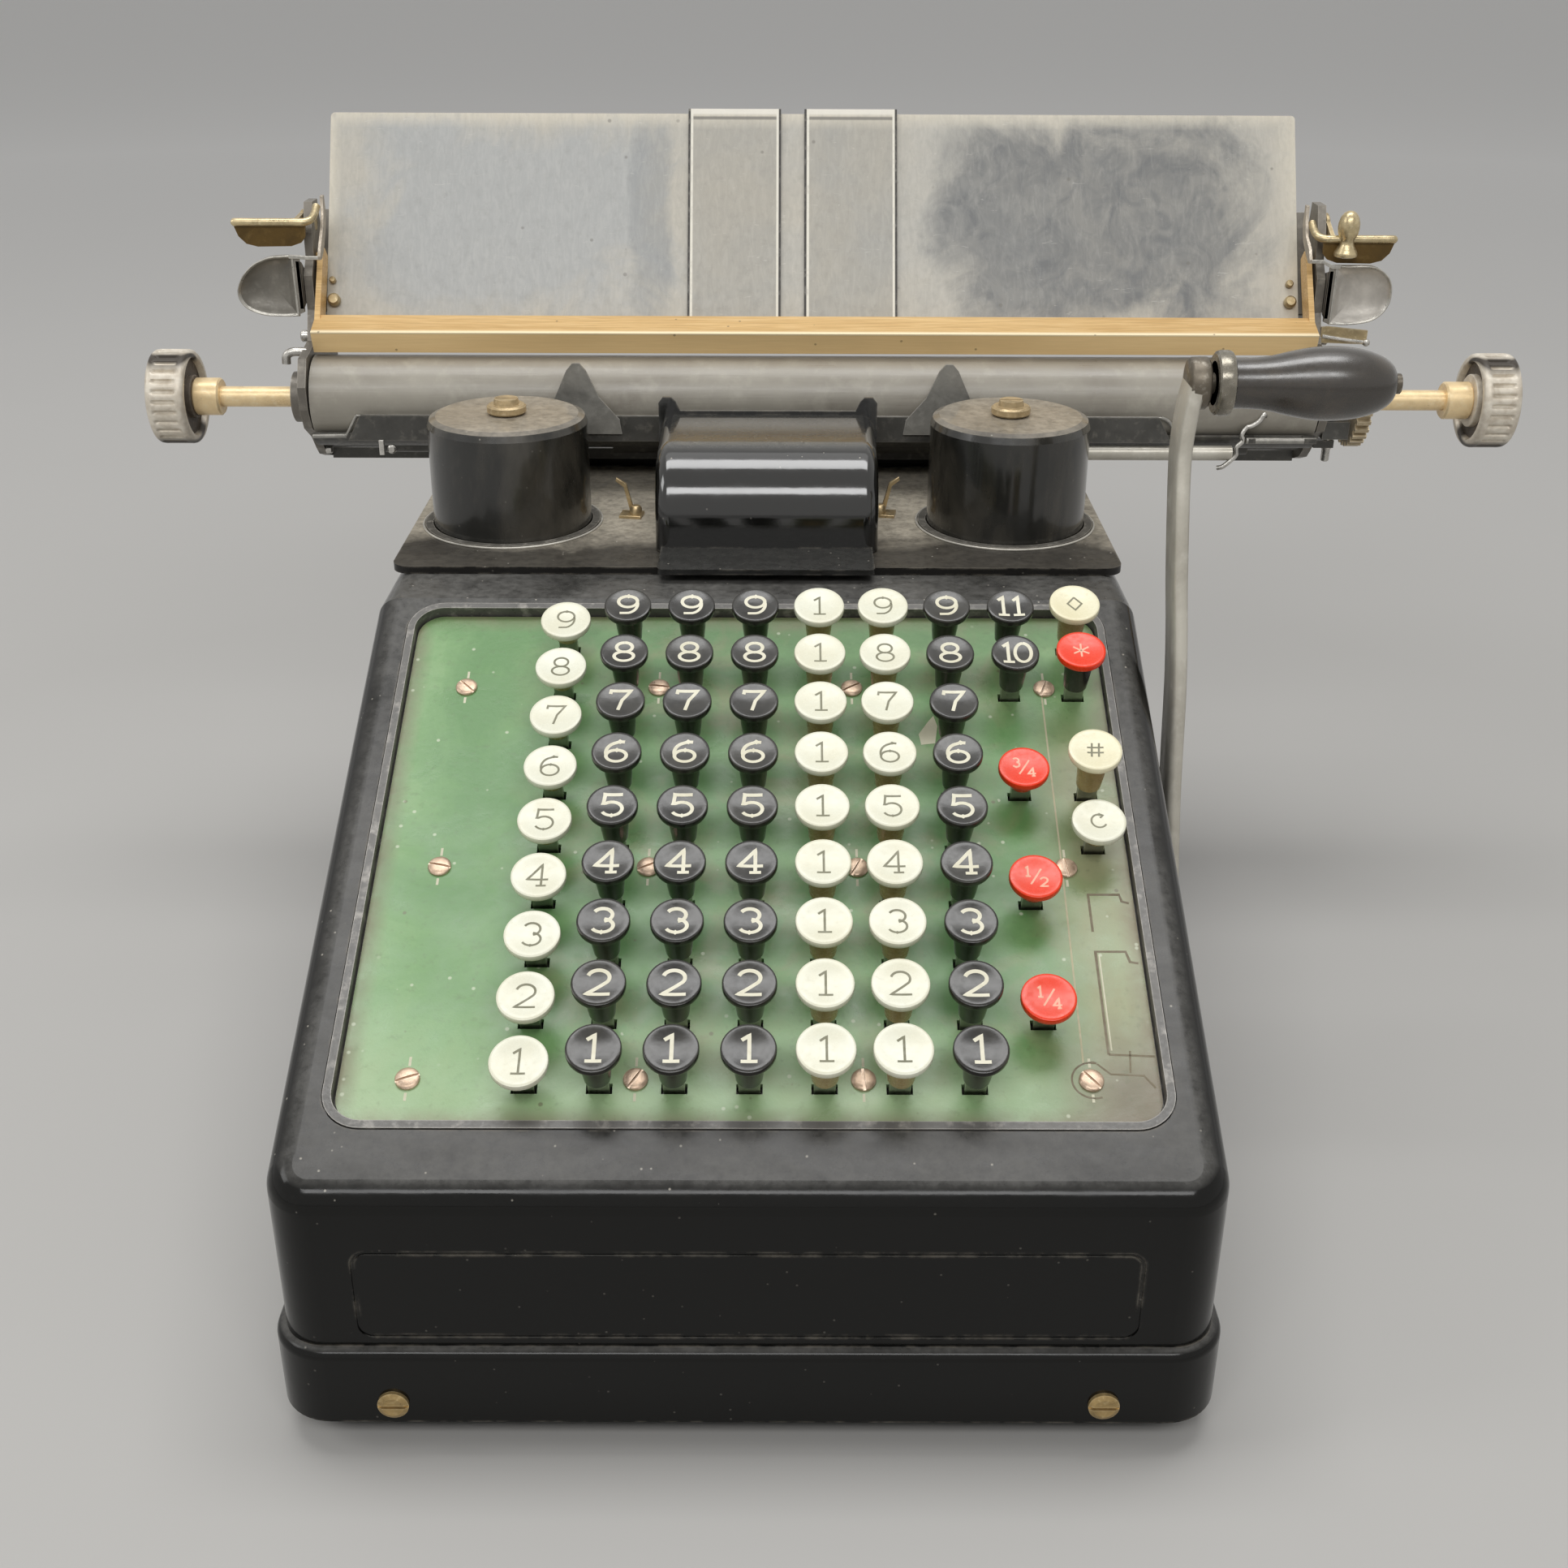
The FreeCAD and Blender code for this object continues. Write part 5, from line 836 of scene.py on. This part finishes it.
def add_keys():
    for node, k, height, radius, kind in (
            ("pound_thousand_keys", 0, SHORT, 7.5, WHITE), ("pound_hundred_keys", 1, TALL, 7, BLACK),
            ("pound_ten_keys", 2, TALL, 7, BLACK), ("pound_unit_keys", 3, TALL, 7, BLACK),
            ("ten_shilling_keys", TEN_SHILLINGS, TALL, 7.5, WHITE), ("shilling_keys", 5, TALL, 7.5, WHITE),
            ("pence_keys", PENCE, TALL, 7, BLACK)):
        keys = [(k, i, height, radius, "1" if k == TEN_SHILLINGS else str(i + 1)) for i in range(ROWS)]
        if k == PENCE:
            keys += [(k + 1, i, height, radius, str(i + 3)) for i in (7, 8)]
        key_bank(node, keys, *kind)
    add_farthings()
    for node, i, height, radius, name, kind in (
            ("sub_total_key", 8, RAISED, 7.5, "diamond", CREAM), ("total_key", 7, RAISED, 7.2, "star", RED),
            ("non_add_key", 5, RAISED, 7.5, "hash", CREAM), ("repeat_key", 4, SHORT, 7.5, "again", PLAIN)):
        key_bank(node, [(ACTIONS, i, height, radius, [name])], *kind)


add_keys()


# the screws of the plate, each a slotted head turned another way

def slotted_head(shape, turn, place):
    """A domed head as two halves with a sunk band between them."""
    radius, height, slot, deep, steps = 3.2, 1.25, 0.7, 0.7, 14
    spin = place @ Matrix.Rotation(turn, 4, "Z")
    first = asin(slot / 2 / radius)
    count = steps + 1
    # six rings from the slot to the outer edge, then the foot of the outer edge and the floor of the slot
    bands = [(0, 1), (1, 2), (2, 3), (3, 4), (4, 5), (5, 6), (7, 0)]

    def dome(x, y):
        share = min(1, hypot(x, y) / radius)
        return height * (0.45 + 0.55 * sqrt(max(0, 1 - share ** 3)))

    for side in (1, -1):
        points = []
        for ring in range(6):
            share = (ring / 5) ** 0.8
            for i in range(count):
                angle = first + (pi - 2 * first) * i / steps
                x = radius * cos(angle)
                y = slot / 2 + (radius * sin(angle) - slot / 2) * share
                points.append((x, side * y, dome(x, y)))
        inner, outer = points[:count], points[-count:]
        points += [(x, y, 0) for x, y, _ in outer] + [(x, y, height - deep) for x, y, _ in inner]
        faces = [(a * count + i, a * count + i + 1, b * count + i + 1, b * count + i)[::-side]
                 for a, b in bands for i in range(steps)]
        shape.add(points, faces, 0, spin)
    edge = sqrt(radius * radius - slot * slot / 4)
    shape.block((-edge, -slot / 2, 0), (edge, slot / 2, height - deep), 0, spin)


def add_plate_screws():
    shape = Shape()
    for number, (u, v) in enumerate(PLATE_SCREWS):
        slotted_head(shape, radians((37 * number + 20) % 180), on_board(u, v))
        shape.lathe([(2, 0.1), (1.5, -0.1), (1.5, -9), (0, -9)], 0, on_board(u, v), 20)
    shape.finish("plate_screws_look", "case", ["screw_brass"], ["plate_screws"])


add_plate_screws()


def add_plate_marks():
    """The lines, slots and pointer that are painted on the green plate."""
    shape = Shape()
    board_place = on_board(0, 0)

    def line(points, width, kind):
        shape.strip(fine_line(points, 6), width, lambda x, y: 0, kind, board_place, 0.03, -0.05)

    line([(86.1, 146.2), (86.1, 89.2), (85.5, 18)], 0.5, 0)
    line([(92.3, 59.2), (92.3, 71.6), (100.8, 71.6), (101.3, 69.3), (103.2, 68.7)], 0.7, 1)
    line([(92.3, 20.8), (92.3, 52.7), (100.4, 52.7), (101.2, 49.4), (103.4, 49)], 0.7, 1)
    line([(92.3, 20.8), (104.1, 20.3)], 0.6, 1)
    line([(93.2, 22), (93.2, 51.6)], 0.4, 2)
    line([(97.9, 21.9), (97.3, 15.4)], 0.5, 1)
    line(bow(87.5, 13.2, 5.4, 5.2, 75, 290, 20), 0.5, 1)
    line([(89, 18), (92.2, 15), (100.6, 14.6), (103.2, 11)], 0.5, 1)
    pointer = [(48.4, 129.9), (49, 125.8), (53.1, 126.4), (54.1, 133.1), (53.1, 137.2), (51.3, 134.7)]
    shape.add([(x, y, h) for h in (0.05, -0.05) for x, y in pointer], prism_faces(len(pointer)), 2, board_place)
    for u, v in PLATE_SCREWS:
        line([(u, v + 3.9), (u, v + 6.6)], 0.7, 2)
        line([(u, v - 3.9), (u, v - 6.2)], 0.7, 2)
    shape.finish("plate_marks", "case", ["mark_olive", "mark_dark", "mark_cream"])


add_plate_marks()


# the milled knobs of the platen

def turned_box(node, side):
    """The frame, length and radius of a solid of revolution that lies across the machine."""
    low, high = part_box(node)
    middle = (low + high) / 2
    place = lying((low.x if side > 0 else high.x, middle.y, middle.z), side)
    return place, (high.x - low.x) / MM, (high.z - low.z) / 2 / MM


def add_knob(node, side, hub, name):
    """A milled drum with smooth rims, hollow on the side of the carriage."""
    place, wide, rim = turned_box(node, side)
    shape = Shape()
    drum = ((3.3, 2.2, 0), (3, 0.5, 0), (2.6, 0.05, 0), (1.8, 0, 0), (0.9, 0.2, 0), (0.25, 0.9, 0), (0, 1.8, 0),
            (0, 2.5, 0), (0, 2.9, 0.35), (0, 3.4, 0.9), (0, 4.2, 1.1), (0, wide - 4, 1.1), (0, wide - 3.2, 0.9),
            (0, wide - 2.7, 0.35), (0.02, wide - 2.2, 0), (0.15, wide - 1.2, 0), (0.6, wide - 0.45, 0),
            (1.4, wide - 0.08, 0), (2.4, wide, 0), (2.9, wide - 0.25, 0), (3.2, wide - 0.9, 0))
    shape.wheel([(rim - inward, along, groove) for inward, along, groove in drum], KNOB_RIBS, 0, place)
    shape.lathe([(hub, 2.2), (rim - 3.3, 2.2)], 1, place, 60)
    shape.lathe([(0, 0), (hub - 0.3, 0), (hub, 0.3), (hub, 2.2)], 0 if hub > 8 else 1, place, 48)
    face = [(rim - 3.2, wide - 0.9), (7.2, wide - 0.9), (6.8, wide - 0.5), (6.2, wide - 0.4), (5.8, wide - 0.9),
            (3.4, wide - 0.9), (3.2, wide - 0.3), (2.7, wide - 0.05), (0, wide)]
    shape.lathe(face, 1, place, 60)
    shape.finish(name, "platen_group", ["knob_paint", "knob_hollow"], [node])


KNOB_RIBS = 28
add_knob("left_platen_knob", -1, 7.7, "left_knob_look")
add_knob("right_platen_knob", 1, 9.4, "right_knob_look")


# the levers at the ends of the carriage

PIN = [(2.4, 0.05), (2.4, -3.1), (2.2, -3.3), (0, -3.3)]


def outward(side):
    """Gives places across the machine that lie so far outward from the end plate of one side."""
    return lambda out: END_FACES[side] + side * out


def add_carriage_lever(node, body, side, level, post):
    """A brass blade with a rolled upper edge, on a cheek that turns outside the end plate. The blade is painted dark
    brown, partly as painted shade; the rolled edge and, where there is one, the post are painted bright as a
    highlight.
    """
    x = outward(side)
    shape = Shape()
    boss = [(0, 1.9), (2.2, 1.9), (2.5, 1.6), (4.6, 1.6), (5, 1.2), (5, 0.3), (4.7, 0), (0, 0)]
    shape.disc(x(0), *LEVER_AXIS, boss, 0, side)
    shape.disc(x(0), *LEVER_AXIS, PIN, 0, side, 24)
    cheek = [(150.2, level - 5.6), (161, 249.6), (165.2, 252.5), (165.2, 255.5), (161, 258.4), (149, level + 1),
             (148, level)]
    shape.slab(cheek, x(0), x(1.5), "X", 0)
    blade = ((-2.6, 0.4), (-2.2, 5.2), (-0.5, 7.2), (3, 8.4), (15, 8.6), (19, 7.6), (21.6, 5), (22.8, 1.6), (22.9, 0))
    # the blade's dark brown stands partly for painted shade under the rolled edge
    shape.slab([(x(out), level - drop) for out, drop in blade], 147.9, 149.1, "Y", 1)
    bead = ((-5.3, 156, 4.2), (-5.2, 152.6, 2.2), (-4.4, 149.3, 0.6), (-2.2, 147.7, 0), (0.6, 147.4, 0), (8, 147.4, 0),
            (16, 147.4, 0), (21.4, 147.5, 0), (22.6, 147.7, -0.15))
    # the rolled edge is painted bright: a painted highlight
    shape.wire([(x(out), y, level + rise) for out, y, rise in bead], 1.38, 2, 5, 16)
    shape.disc(x(22.6), 147.7, level - 0.15, [(0, 1.1), (0.6, 0.95), (1.1, 0.55), (1.38, 0)], 2, side, 16)
    if post:
        turned = [(0, 16.2), (1.1, 16), (2.2, 15.3), (3.2, 13.9), (3.75, 11.8), (3.8, 10.2), (3.5, 8.4), (2.9, 7),
                  (2.45, 6.1), (2.4, 5.4), (2.7, 4.3), (3.4, 3), (4, 1.9), (4.2, 1.1), (4, 0.5), (3.2, 0.1),
                  (0, 0)]
        shape.lathe(turned, 2, standing(208.9, 146.4, 245.8), 32)
    shape.finish(node + "_look", body, ["lever_brass", "lever_dark", "lever_bright"], [node], rounded=0.3)


add_carriage_lever("left_carriage_lever", "left_lever", -1, 256.6, False)
add_carriage_lever("right_carriage_lever", "right_lever", 1, 252, True)


LEFT_SPOON = [(0, 0), (3, 0), (8.5, -0.5), (14.5, -3), (19, -7.2), (21.3, -12.2), (20.8, -16.2), (18, -19.2),
              (12.5, -21.2), (6, -21.6), (0, -21.6)]
RIGHT_SPOON = [(0, 0), (6, 0), (13, -0.1), (17.2, -1.8), (20.2, -5), (21.3, -9.2), (20.9, -13.6), (18.4, -17.6),
               (14.2, -20), (7, -21), (0, -21)]


def add_spoon(node, body, side, top, rise, outline, bowl):
    """A dished thumb piece with a thin bright rim, on a cheek that turns outside the end plate.

    The strip that reaches inward from it, and the foot of the strip's lug, stand up by the rise."""
    x = outward(side)
    root = 1.9
    shape = Shape()
    fine = smooth_line(outline, 5)
    middle_x, middle_z = 9.5, -11
    count = len(fine)
    hollow = [(0.12, 3.1, 0), (0.3, 2.9, 0), (0.5, 2.4, 0), (0.68, 1.6, 0), (0.82, 0.7, 0), (0.9, 0.1, 0.3)]
    edge = [(0.94, 0, 0.95), (0.965, 0, 1.15), (0.99, 0, 0.9), (1, 0.2, 0.1), (1, 1, 0)]
    back = [(0.96, 1.3, 0), (0.82, 1.9, 0), (0.5, 3.6, 0), (0.12, 4.3, 0)]
    rounds = hollow + edge + back
    points = [at(x(root + middle_x + (a - middle_x) * share), 144.4 + depth - lift * min(1, max(0, a / 3)),
                 top + middle_z + (b - middle_z) * share) for share, depth, lift in rounds for a, b in fine]
    rings = [[n * count + i for i in range(count)] for n in range(len(rounds))]
    shape.add(points, ring_faces(rings) + [tuple(rings[0]), tuple(rings[-1])], 0)
    for n in range((len(hollow) - 1) * count, (len(hollow) + len(edge) - 2) * count):
        shape.kinds[n] = 1
    tab = [(x(root + 0.4), top), (x(0), top - 0.2), (x(0), top - 20), (x(root + 0.4), top - 21)]
    shape.slab(tab, 144.4, 145.6, "Y", 2)
    strip = [(3.5, 0.1), (0.5, 0), (-3, rise - 0.3), (-7, rise - 0.3), (-7, rise - 1.5), (-3, rise - 1.5),
             (0.5, -1.2), (3.5, -1.1)]
    shape.slab([(x(out), top + up) for out, up in strip], 143.7, 145, "Y", 1)
    lug = [(143.8, rise - 0.3), (146.5, rise + 3), (152.5, 8.6), (155.2, 13), (156.2, 18.6), (158.4, 18.8),
           (158.6, 12), (155.5, 6.5), (150, rise + 0.6), (146, rise - 1.6), (143.8, rise - 1.6)]
    shape.slab([(y, top + up) for y, up in lug], x(-7.9), x(-6.75), "X", 3)
    cheek = [(144.4, top - 2), (147.5, top - 3), (152, 239.2), (156.4, 237), (157, 234), (155.6, 230.4),
             (152, 228.8), (147.5, top - 18), (144.4, top - 19)]
    shape.slab(cheek, x(0), x(1.5), "X", 2)
    shape.disc(x(0), *SPOON_AXIS, [(0, 2.1), (2.2, 2.1), (2.7, 1.7), (2.8, 1.4), (0, 1.4)], 3, side, 28)
    shape.disc(x(0), *SPOON_AXIS, PIN, 2, side, 24)
    shape.finish(node + "_look", body, [bowl, "spoon_rim", "spoon_flat", "lug_metal"], [node], rounded=0.15)


add_spoon("left_release_lever", "left_release", -1, 245.7, 0, LEFT_SPOON, "spoon_steel")
add_spoon("right_release_lever", "right_release", 1, 243.4, 2.2, RIGHT_SPOON, "spoon_pale")


def add_carriage_bits():
    """Wires, screws, studs, tabs and hooks of the carriage."""
    shape = Shape()
    pan_wire = [(-160.4, 121, 186.5), (-148.4, 121, 186.7), (-144.2, 121, 194), (143.5, 121, 194.1)]
    for first, second, radius in zip(pan_wire, pan_wire[1:], (0.75, 0.55, 0.45)):
        shape.wire([first, second], radius, 0, 1, 10)
    shape.wire([pan_wire[-1], (146, 121, 192.9), (148, 121, 190), (149.9, 121, 184.9)], 0.7, 0, 5, 10)
    shape.wire([(174.4, 120.1, 186.2), (199.4, 120.1, 186.2)], 1.1, 0, 1, 16)
    for near, far in ((195, 199.4), (175, 177.6)):
        shape.slab([(119, 185.4), (122.4, 184.4), (122.4, 187.6), (119, 187)], near, far, "X", 2)
    shape.wire([(-163, 135, 213.4), (-167.6, 134.6, 213.6), (-170, 134.2, 212.4), (-170.4, 134, 209.4)], 1.6, 1)
    for side, face in END_FACES.items():
        stud = [(0, 2.9), (1.7, 2.9), (2.2, 2.4), (2.2, 0.6), (2, 0), (0, 0)]
        shape.disc(face - side * 0.4, 145.6, 216.9, stud, 1, side, 24)
    shape.disc(-161.1, 141, 176.2, [(0, 2.3), (1.2, 2.3), (1.6, 1.9), (1.6, 0), (0, 0)], 1, 1, 20)
    shape.slab([(125.4, 185.2), (131.2, 185.2), (131.2, 190.4), (129.8, 191.6), (125.4, 191.6)], 203.1, 212.5, "X", 2)
    shape.slab([(134.4, 179.6), (138.6, 179.6), (138.6, 182.4), (134.4, 182.4)], 203.1, 210.4, "X", 2)
    shape.lathe([(0, 8.6), (1.5, 8.6), (1.9, 8.2), (1.9, 5), (1.5, 4.4), (1.5, 0.4), (1.1, 0), (0, 0)], 1,
                standing(208.4, 136.4, 174.2), 20)
    shape.slab([(203, 216.2), (219.8, 215.6), (219.8, 220.6), (205.4, 222), (203, 221.8)], 143.1, 144.2, "Y", 3)
    shape.wire([(203.4, 142.9, 218.6), (211, 142.7, 217.4), (219.4, 142.7, 216.4)], 0.75, 1, 4, 10)
    shape.lathe([(0, 1.4), (0.9, 1.1), (1.4, 0.2), (1.3, -0.7), (0.6, -1.3), (0, -1.4)], 1,
                standing(219.6, 142.6, 216.4), 16)
    for x, y, z, big in ((-155.6, 154, 227.9, 2.3), (-156.3, 157.3, 234.6, 1.2), (193.2, 154.2, 228.2, 2.2),
                         (193.2, 157.6, 234.2, 1.4)):
        head = [(0, big * 1.1), (big * 0.7, big * 1.05), (big, big * 0.7), (big, 0), (big * 0.8, -2.4), (0, -2.4)]
        shape.lathe(head, 3, standing(x, y, z) @ Matrix.Rotation(radians(60), 4, "X"), 24)
    hook = [(181.4, 122.6, 194), (180, 120.6, 195.6), (178.6, 120.4, 193.4), (176, 120.6, 191.4),
            (174.2, 121, 190.6), (172.8, 120.6, 188), (173.4, 120.6, 186), (171.3, 120.6, 183.6),
            (171.4, 120.6, 180.8), (169.6, 120.6, 178.6), (167, 120.6, 176.4), (165.2, 121.2, 175.8)]
    shape.wire(hook, 0.85, 1)
    shape.finish("carriage_bits", "carriage", ["lip_steel", "bright_steel", "dark_steel", "lever_brass"],
                 rounded=0.18)


add_carriage_bits()


def add_case_bits():
    """The clip under the paper shield, the brass ribbon guides and the bright rims of the ribbon cups."""
    shape = Shape()
    for x in (-CUP_X, CUP_X):
        for radius, z in ((28.2, 166.9), (30.6, 166.8)):
            shape.wire([(a, b, z) for a, b in bow(x, CUP_Y, radius, radius, 0, 360, 90)], 0.4, 2, 1, 8)
    shape.slab([(-136, 181), (-134.2, 181), (-134.2, 186.4), (-136, 186.4)], 116, 117.2, "Y", 0)
    place = standing(-131.6, 117.4, 183) @ Matrix.Rotation(radians(90), 4, "X")
    shape.lathe([(0, 1.6), (1, 1.5), (1.6, 0.9), (1.7, 0), (1.2, -1), (0, -1)], 0, place, 20)
    for side, x, y in ((-1, -44.6, 92), (1, 43.6, 94)):
        foot = [(x - 4.2, y - 3), (x + 3.4, y - 4.2), (x + 4.4, y + 2.6), (x - 3.4, y + 3.8)]
        shape.slab(foot, 166.4, 167.5, "Z", 1)
        arm = ((-1.2, 167.2), (0.4, 167.2), (2.6, 176.4), (5.4, 178.6), (5, 179.8), (1.6, 177.6))
        shape.slab([(x + side * out, z) for out, z in arm], y + 1, y + 2.2, "Y", 1)
        shape.lathe([(0, 3.4), (1.5, 3.2), (2.1, 2.4), (2.2, 0.9), (2.2, 0), (0, 0)], 1,
                    standing(x - side * 1.6, y - 1.2, 167.4), 22)
    shape.finish("case_bits", "case", ["bright_steel", "guide_brass", "cup_rim"], rounded=0.2)


add_case_bits()


def add_arm():
    """The crank's bar, set in a little towards the case along its upper half, with its knuckle, hub and pin."""
    line = [(-24, 60, 130), (-20.6, 78.5, 129.8), (-17, 98, 129), (-13.5, 117, 128.4),
            (-8.4, 144, 128.2), (-4.6, 160, 127.8), (-0.4, 178, 126.9), (5.2, 202, 126.2),
            (8, 213, 126.2), (8.3, 221, 126.5), (8.5, 229, 127.4), (8.5, 234, 128.4)]
    half, thick, cut = 7.4, 2.1, 0.8
    section = [(-half, cut - thick), (cut - half, -thick), (half - cut, -thick), (half, cut - thick),
               (half, thick - cut), (half - cut, thick), (cut - half, thick), (-half, thick - cut)]
    shape = Shape()
    points, rings = [], []
    for y, z, x in smooth_line(line, 4):
        rings.append([len(points) + i for i in range(len(section))])
        points += [at(x + across, y + along, z) for along, across in section]
    shape.add(points, ring_faces(rings) + [tuple(rings[0]), tuple(rings[-1])], 0)
    knuckle = [(0, 6.1), (6.9, 6.1), (7.6, 5.4), (7.6, 3.6), (7.5, 1), (6.8, 0.2), (0, 0.2)]
    shape.disc(126.1, *GRIP_AXIS, knuckle, 1, 1, 48)
    hub = [(6.3, 9.6), (11.4, 9.6), (12, 9), (12, 0.6), (11.4, 0), (6.3, 0)]
    shape.disc(122, *CRANK_AXIS, hub, 0, 1, 48)
    shape.disc(128.2, *CRANK_AXIS, [(0, 3.4), (6.5, 3.4), (6.5, 0.3), (0, 0.3)], 1)
    shape.disc(131, *GRIP_AXIS, [(2.98, 57.4), (2.98, 0)], 1, 1, 24)
    shape.finish("crank_arm_look", "crank", ["arm_steel", "knuckle_steel"], ["crank_arm"], sharp=50)


add_arm()


def add_grip():
    """The grip: thin by the arm, full past the middle and rounded at its end, with a steel ring and a rivet."""
    place, length, full = turned_box("crank_grip", 1)
    shares = ((0, 0.6), (0.02, 0.68), (0.06, 0.7), (0.1, 0.685), (0.16, 0.68), (0.24, 0.7), (0.32, 0.755),
              (0.42, 0.87), (0.53, 0.97), (0.62, 1), (0.71, 0.985), (0.8, 0.925), (0.88, 0.81), (0.94, 0.66),
              (0.975, 0.5), (0.99, 0.36))
    profile = smooth_line([(radius * full, share * length) for share, radius in shares], 4)
    shape = Shape()
    shape.lathe([(0, profile[-1][1]), *reversed(profile), (0, 0)], 0, place, 56)
    shape.lathe([(0, length), (1.6, length), (2.6, length - 0.3), (3, length - 0.9), (0, length - 1)], 1, place, 28)
    ferrule = [(0, 5), (8.6, 5), (9.2, 4.6), (9.5, 3.6), (9.5, 1.6), (9.2, 0.5), (8.5, 0), (0, 0)]
    shape.lathe(ferrule, 1, place, 48)
    shape.finish("crank_grip_look", "grip", ["grip_varnish", "grip_steel"], ["crank_grip"])


add_grip()


# floor, lamps and world

def add_floor():
    reach, level = 12, -0.0002
    mesh = bpy.data.meshes.new("floor")
    corners = [(-reach, -reach, level), (reach, -reach, level), (reach, reach, level), (-reach, reach, level)]
    mesh.from_pydata(corners, [], [(0, 1, 2, 3)])
    p = Paint("floor_paint")
    near = p.mix(p.noise(3, 3, 0.5), (0.47, 0.46, 0.44), (0.51, 0.5, 0.48))
    far = p.span(p.vector("LENGTH", p.place), 0.5, 2.6)
    p.set(Base_Color=p.mix(far, near, (0.93, 0.92, 0.9)), Roughness=0.8)
    mesh.materials.append(looks["floor_paint"])
    new_object("floor", mesh)


def add_lamp(name, place, width, depth, power):
    """A lamp at a place of the case, in millimetres, that looks at the middle of the machine."""
    place, aim = at(*place), at(0, 0, 150)
    data = bpy.data.lights.new(name, "AREA")
    data.shape = "RECTANGLE"
    data.size, data.size_y = width, depth
    data.energy = power
    turn = (aim - place).normalized().to_track_quat("-Z", "Y").to_matrix()
    new_object(name, data).matrix_world = Matrix.Translation(place) @ turn.to_4x4()


def add_world():
    """A bright backdrop for the camera, reflections and clear things, and a softer light for all else."""
    world = bpy.context.scene.world = bpy.data.worlds.new("world")
    w = Nodes(world)
    backdrop = w.tree.nodes["Background"]
    w.link(backdrop.inputs[0], (0.8, 0.79, 0.77))
    w.link(backdrop.inputs[1], 0.8)
    soft = w.node("Background", (1, 1, 1), 0.32)
    rays = w.node("LightPath").outputs
    seen = w.most(rays["Is Camera Ray"], w.most(rays["Is Glossy Ray"], rays["Is Transmission Ray"]))
    choice = w.node("MixShader", seen, soft.outputs[0], backdrop.outputs[0])
    w.link(w.tree.nodes["World Output"].inputs[0], choice.outputs[0])


add_floor()
add_lamp("ceiling_lamp", (0, 420, 1760), 1.6, 0.95, 3)
add_lamp("tube_lamp", (0, 120, 1700), 1.4, 0.5, 11.5)
add_lamp("front_lamp", (0, -1150, 1250), 1.4, 0.3, 9)
add_lamp("left_lamp", (-1300, -300, 1100), 0.5, 0.5, 3)
add_world()
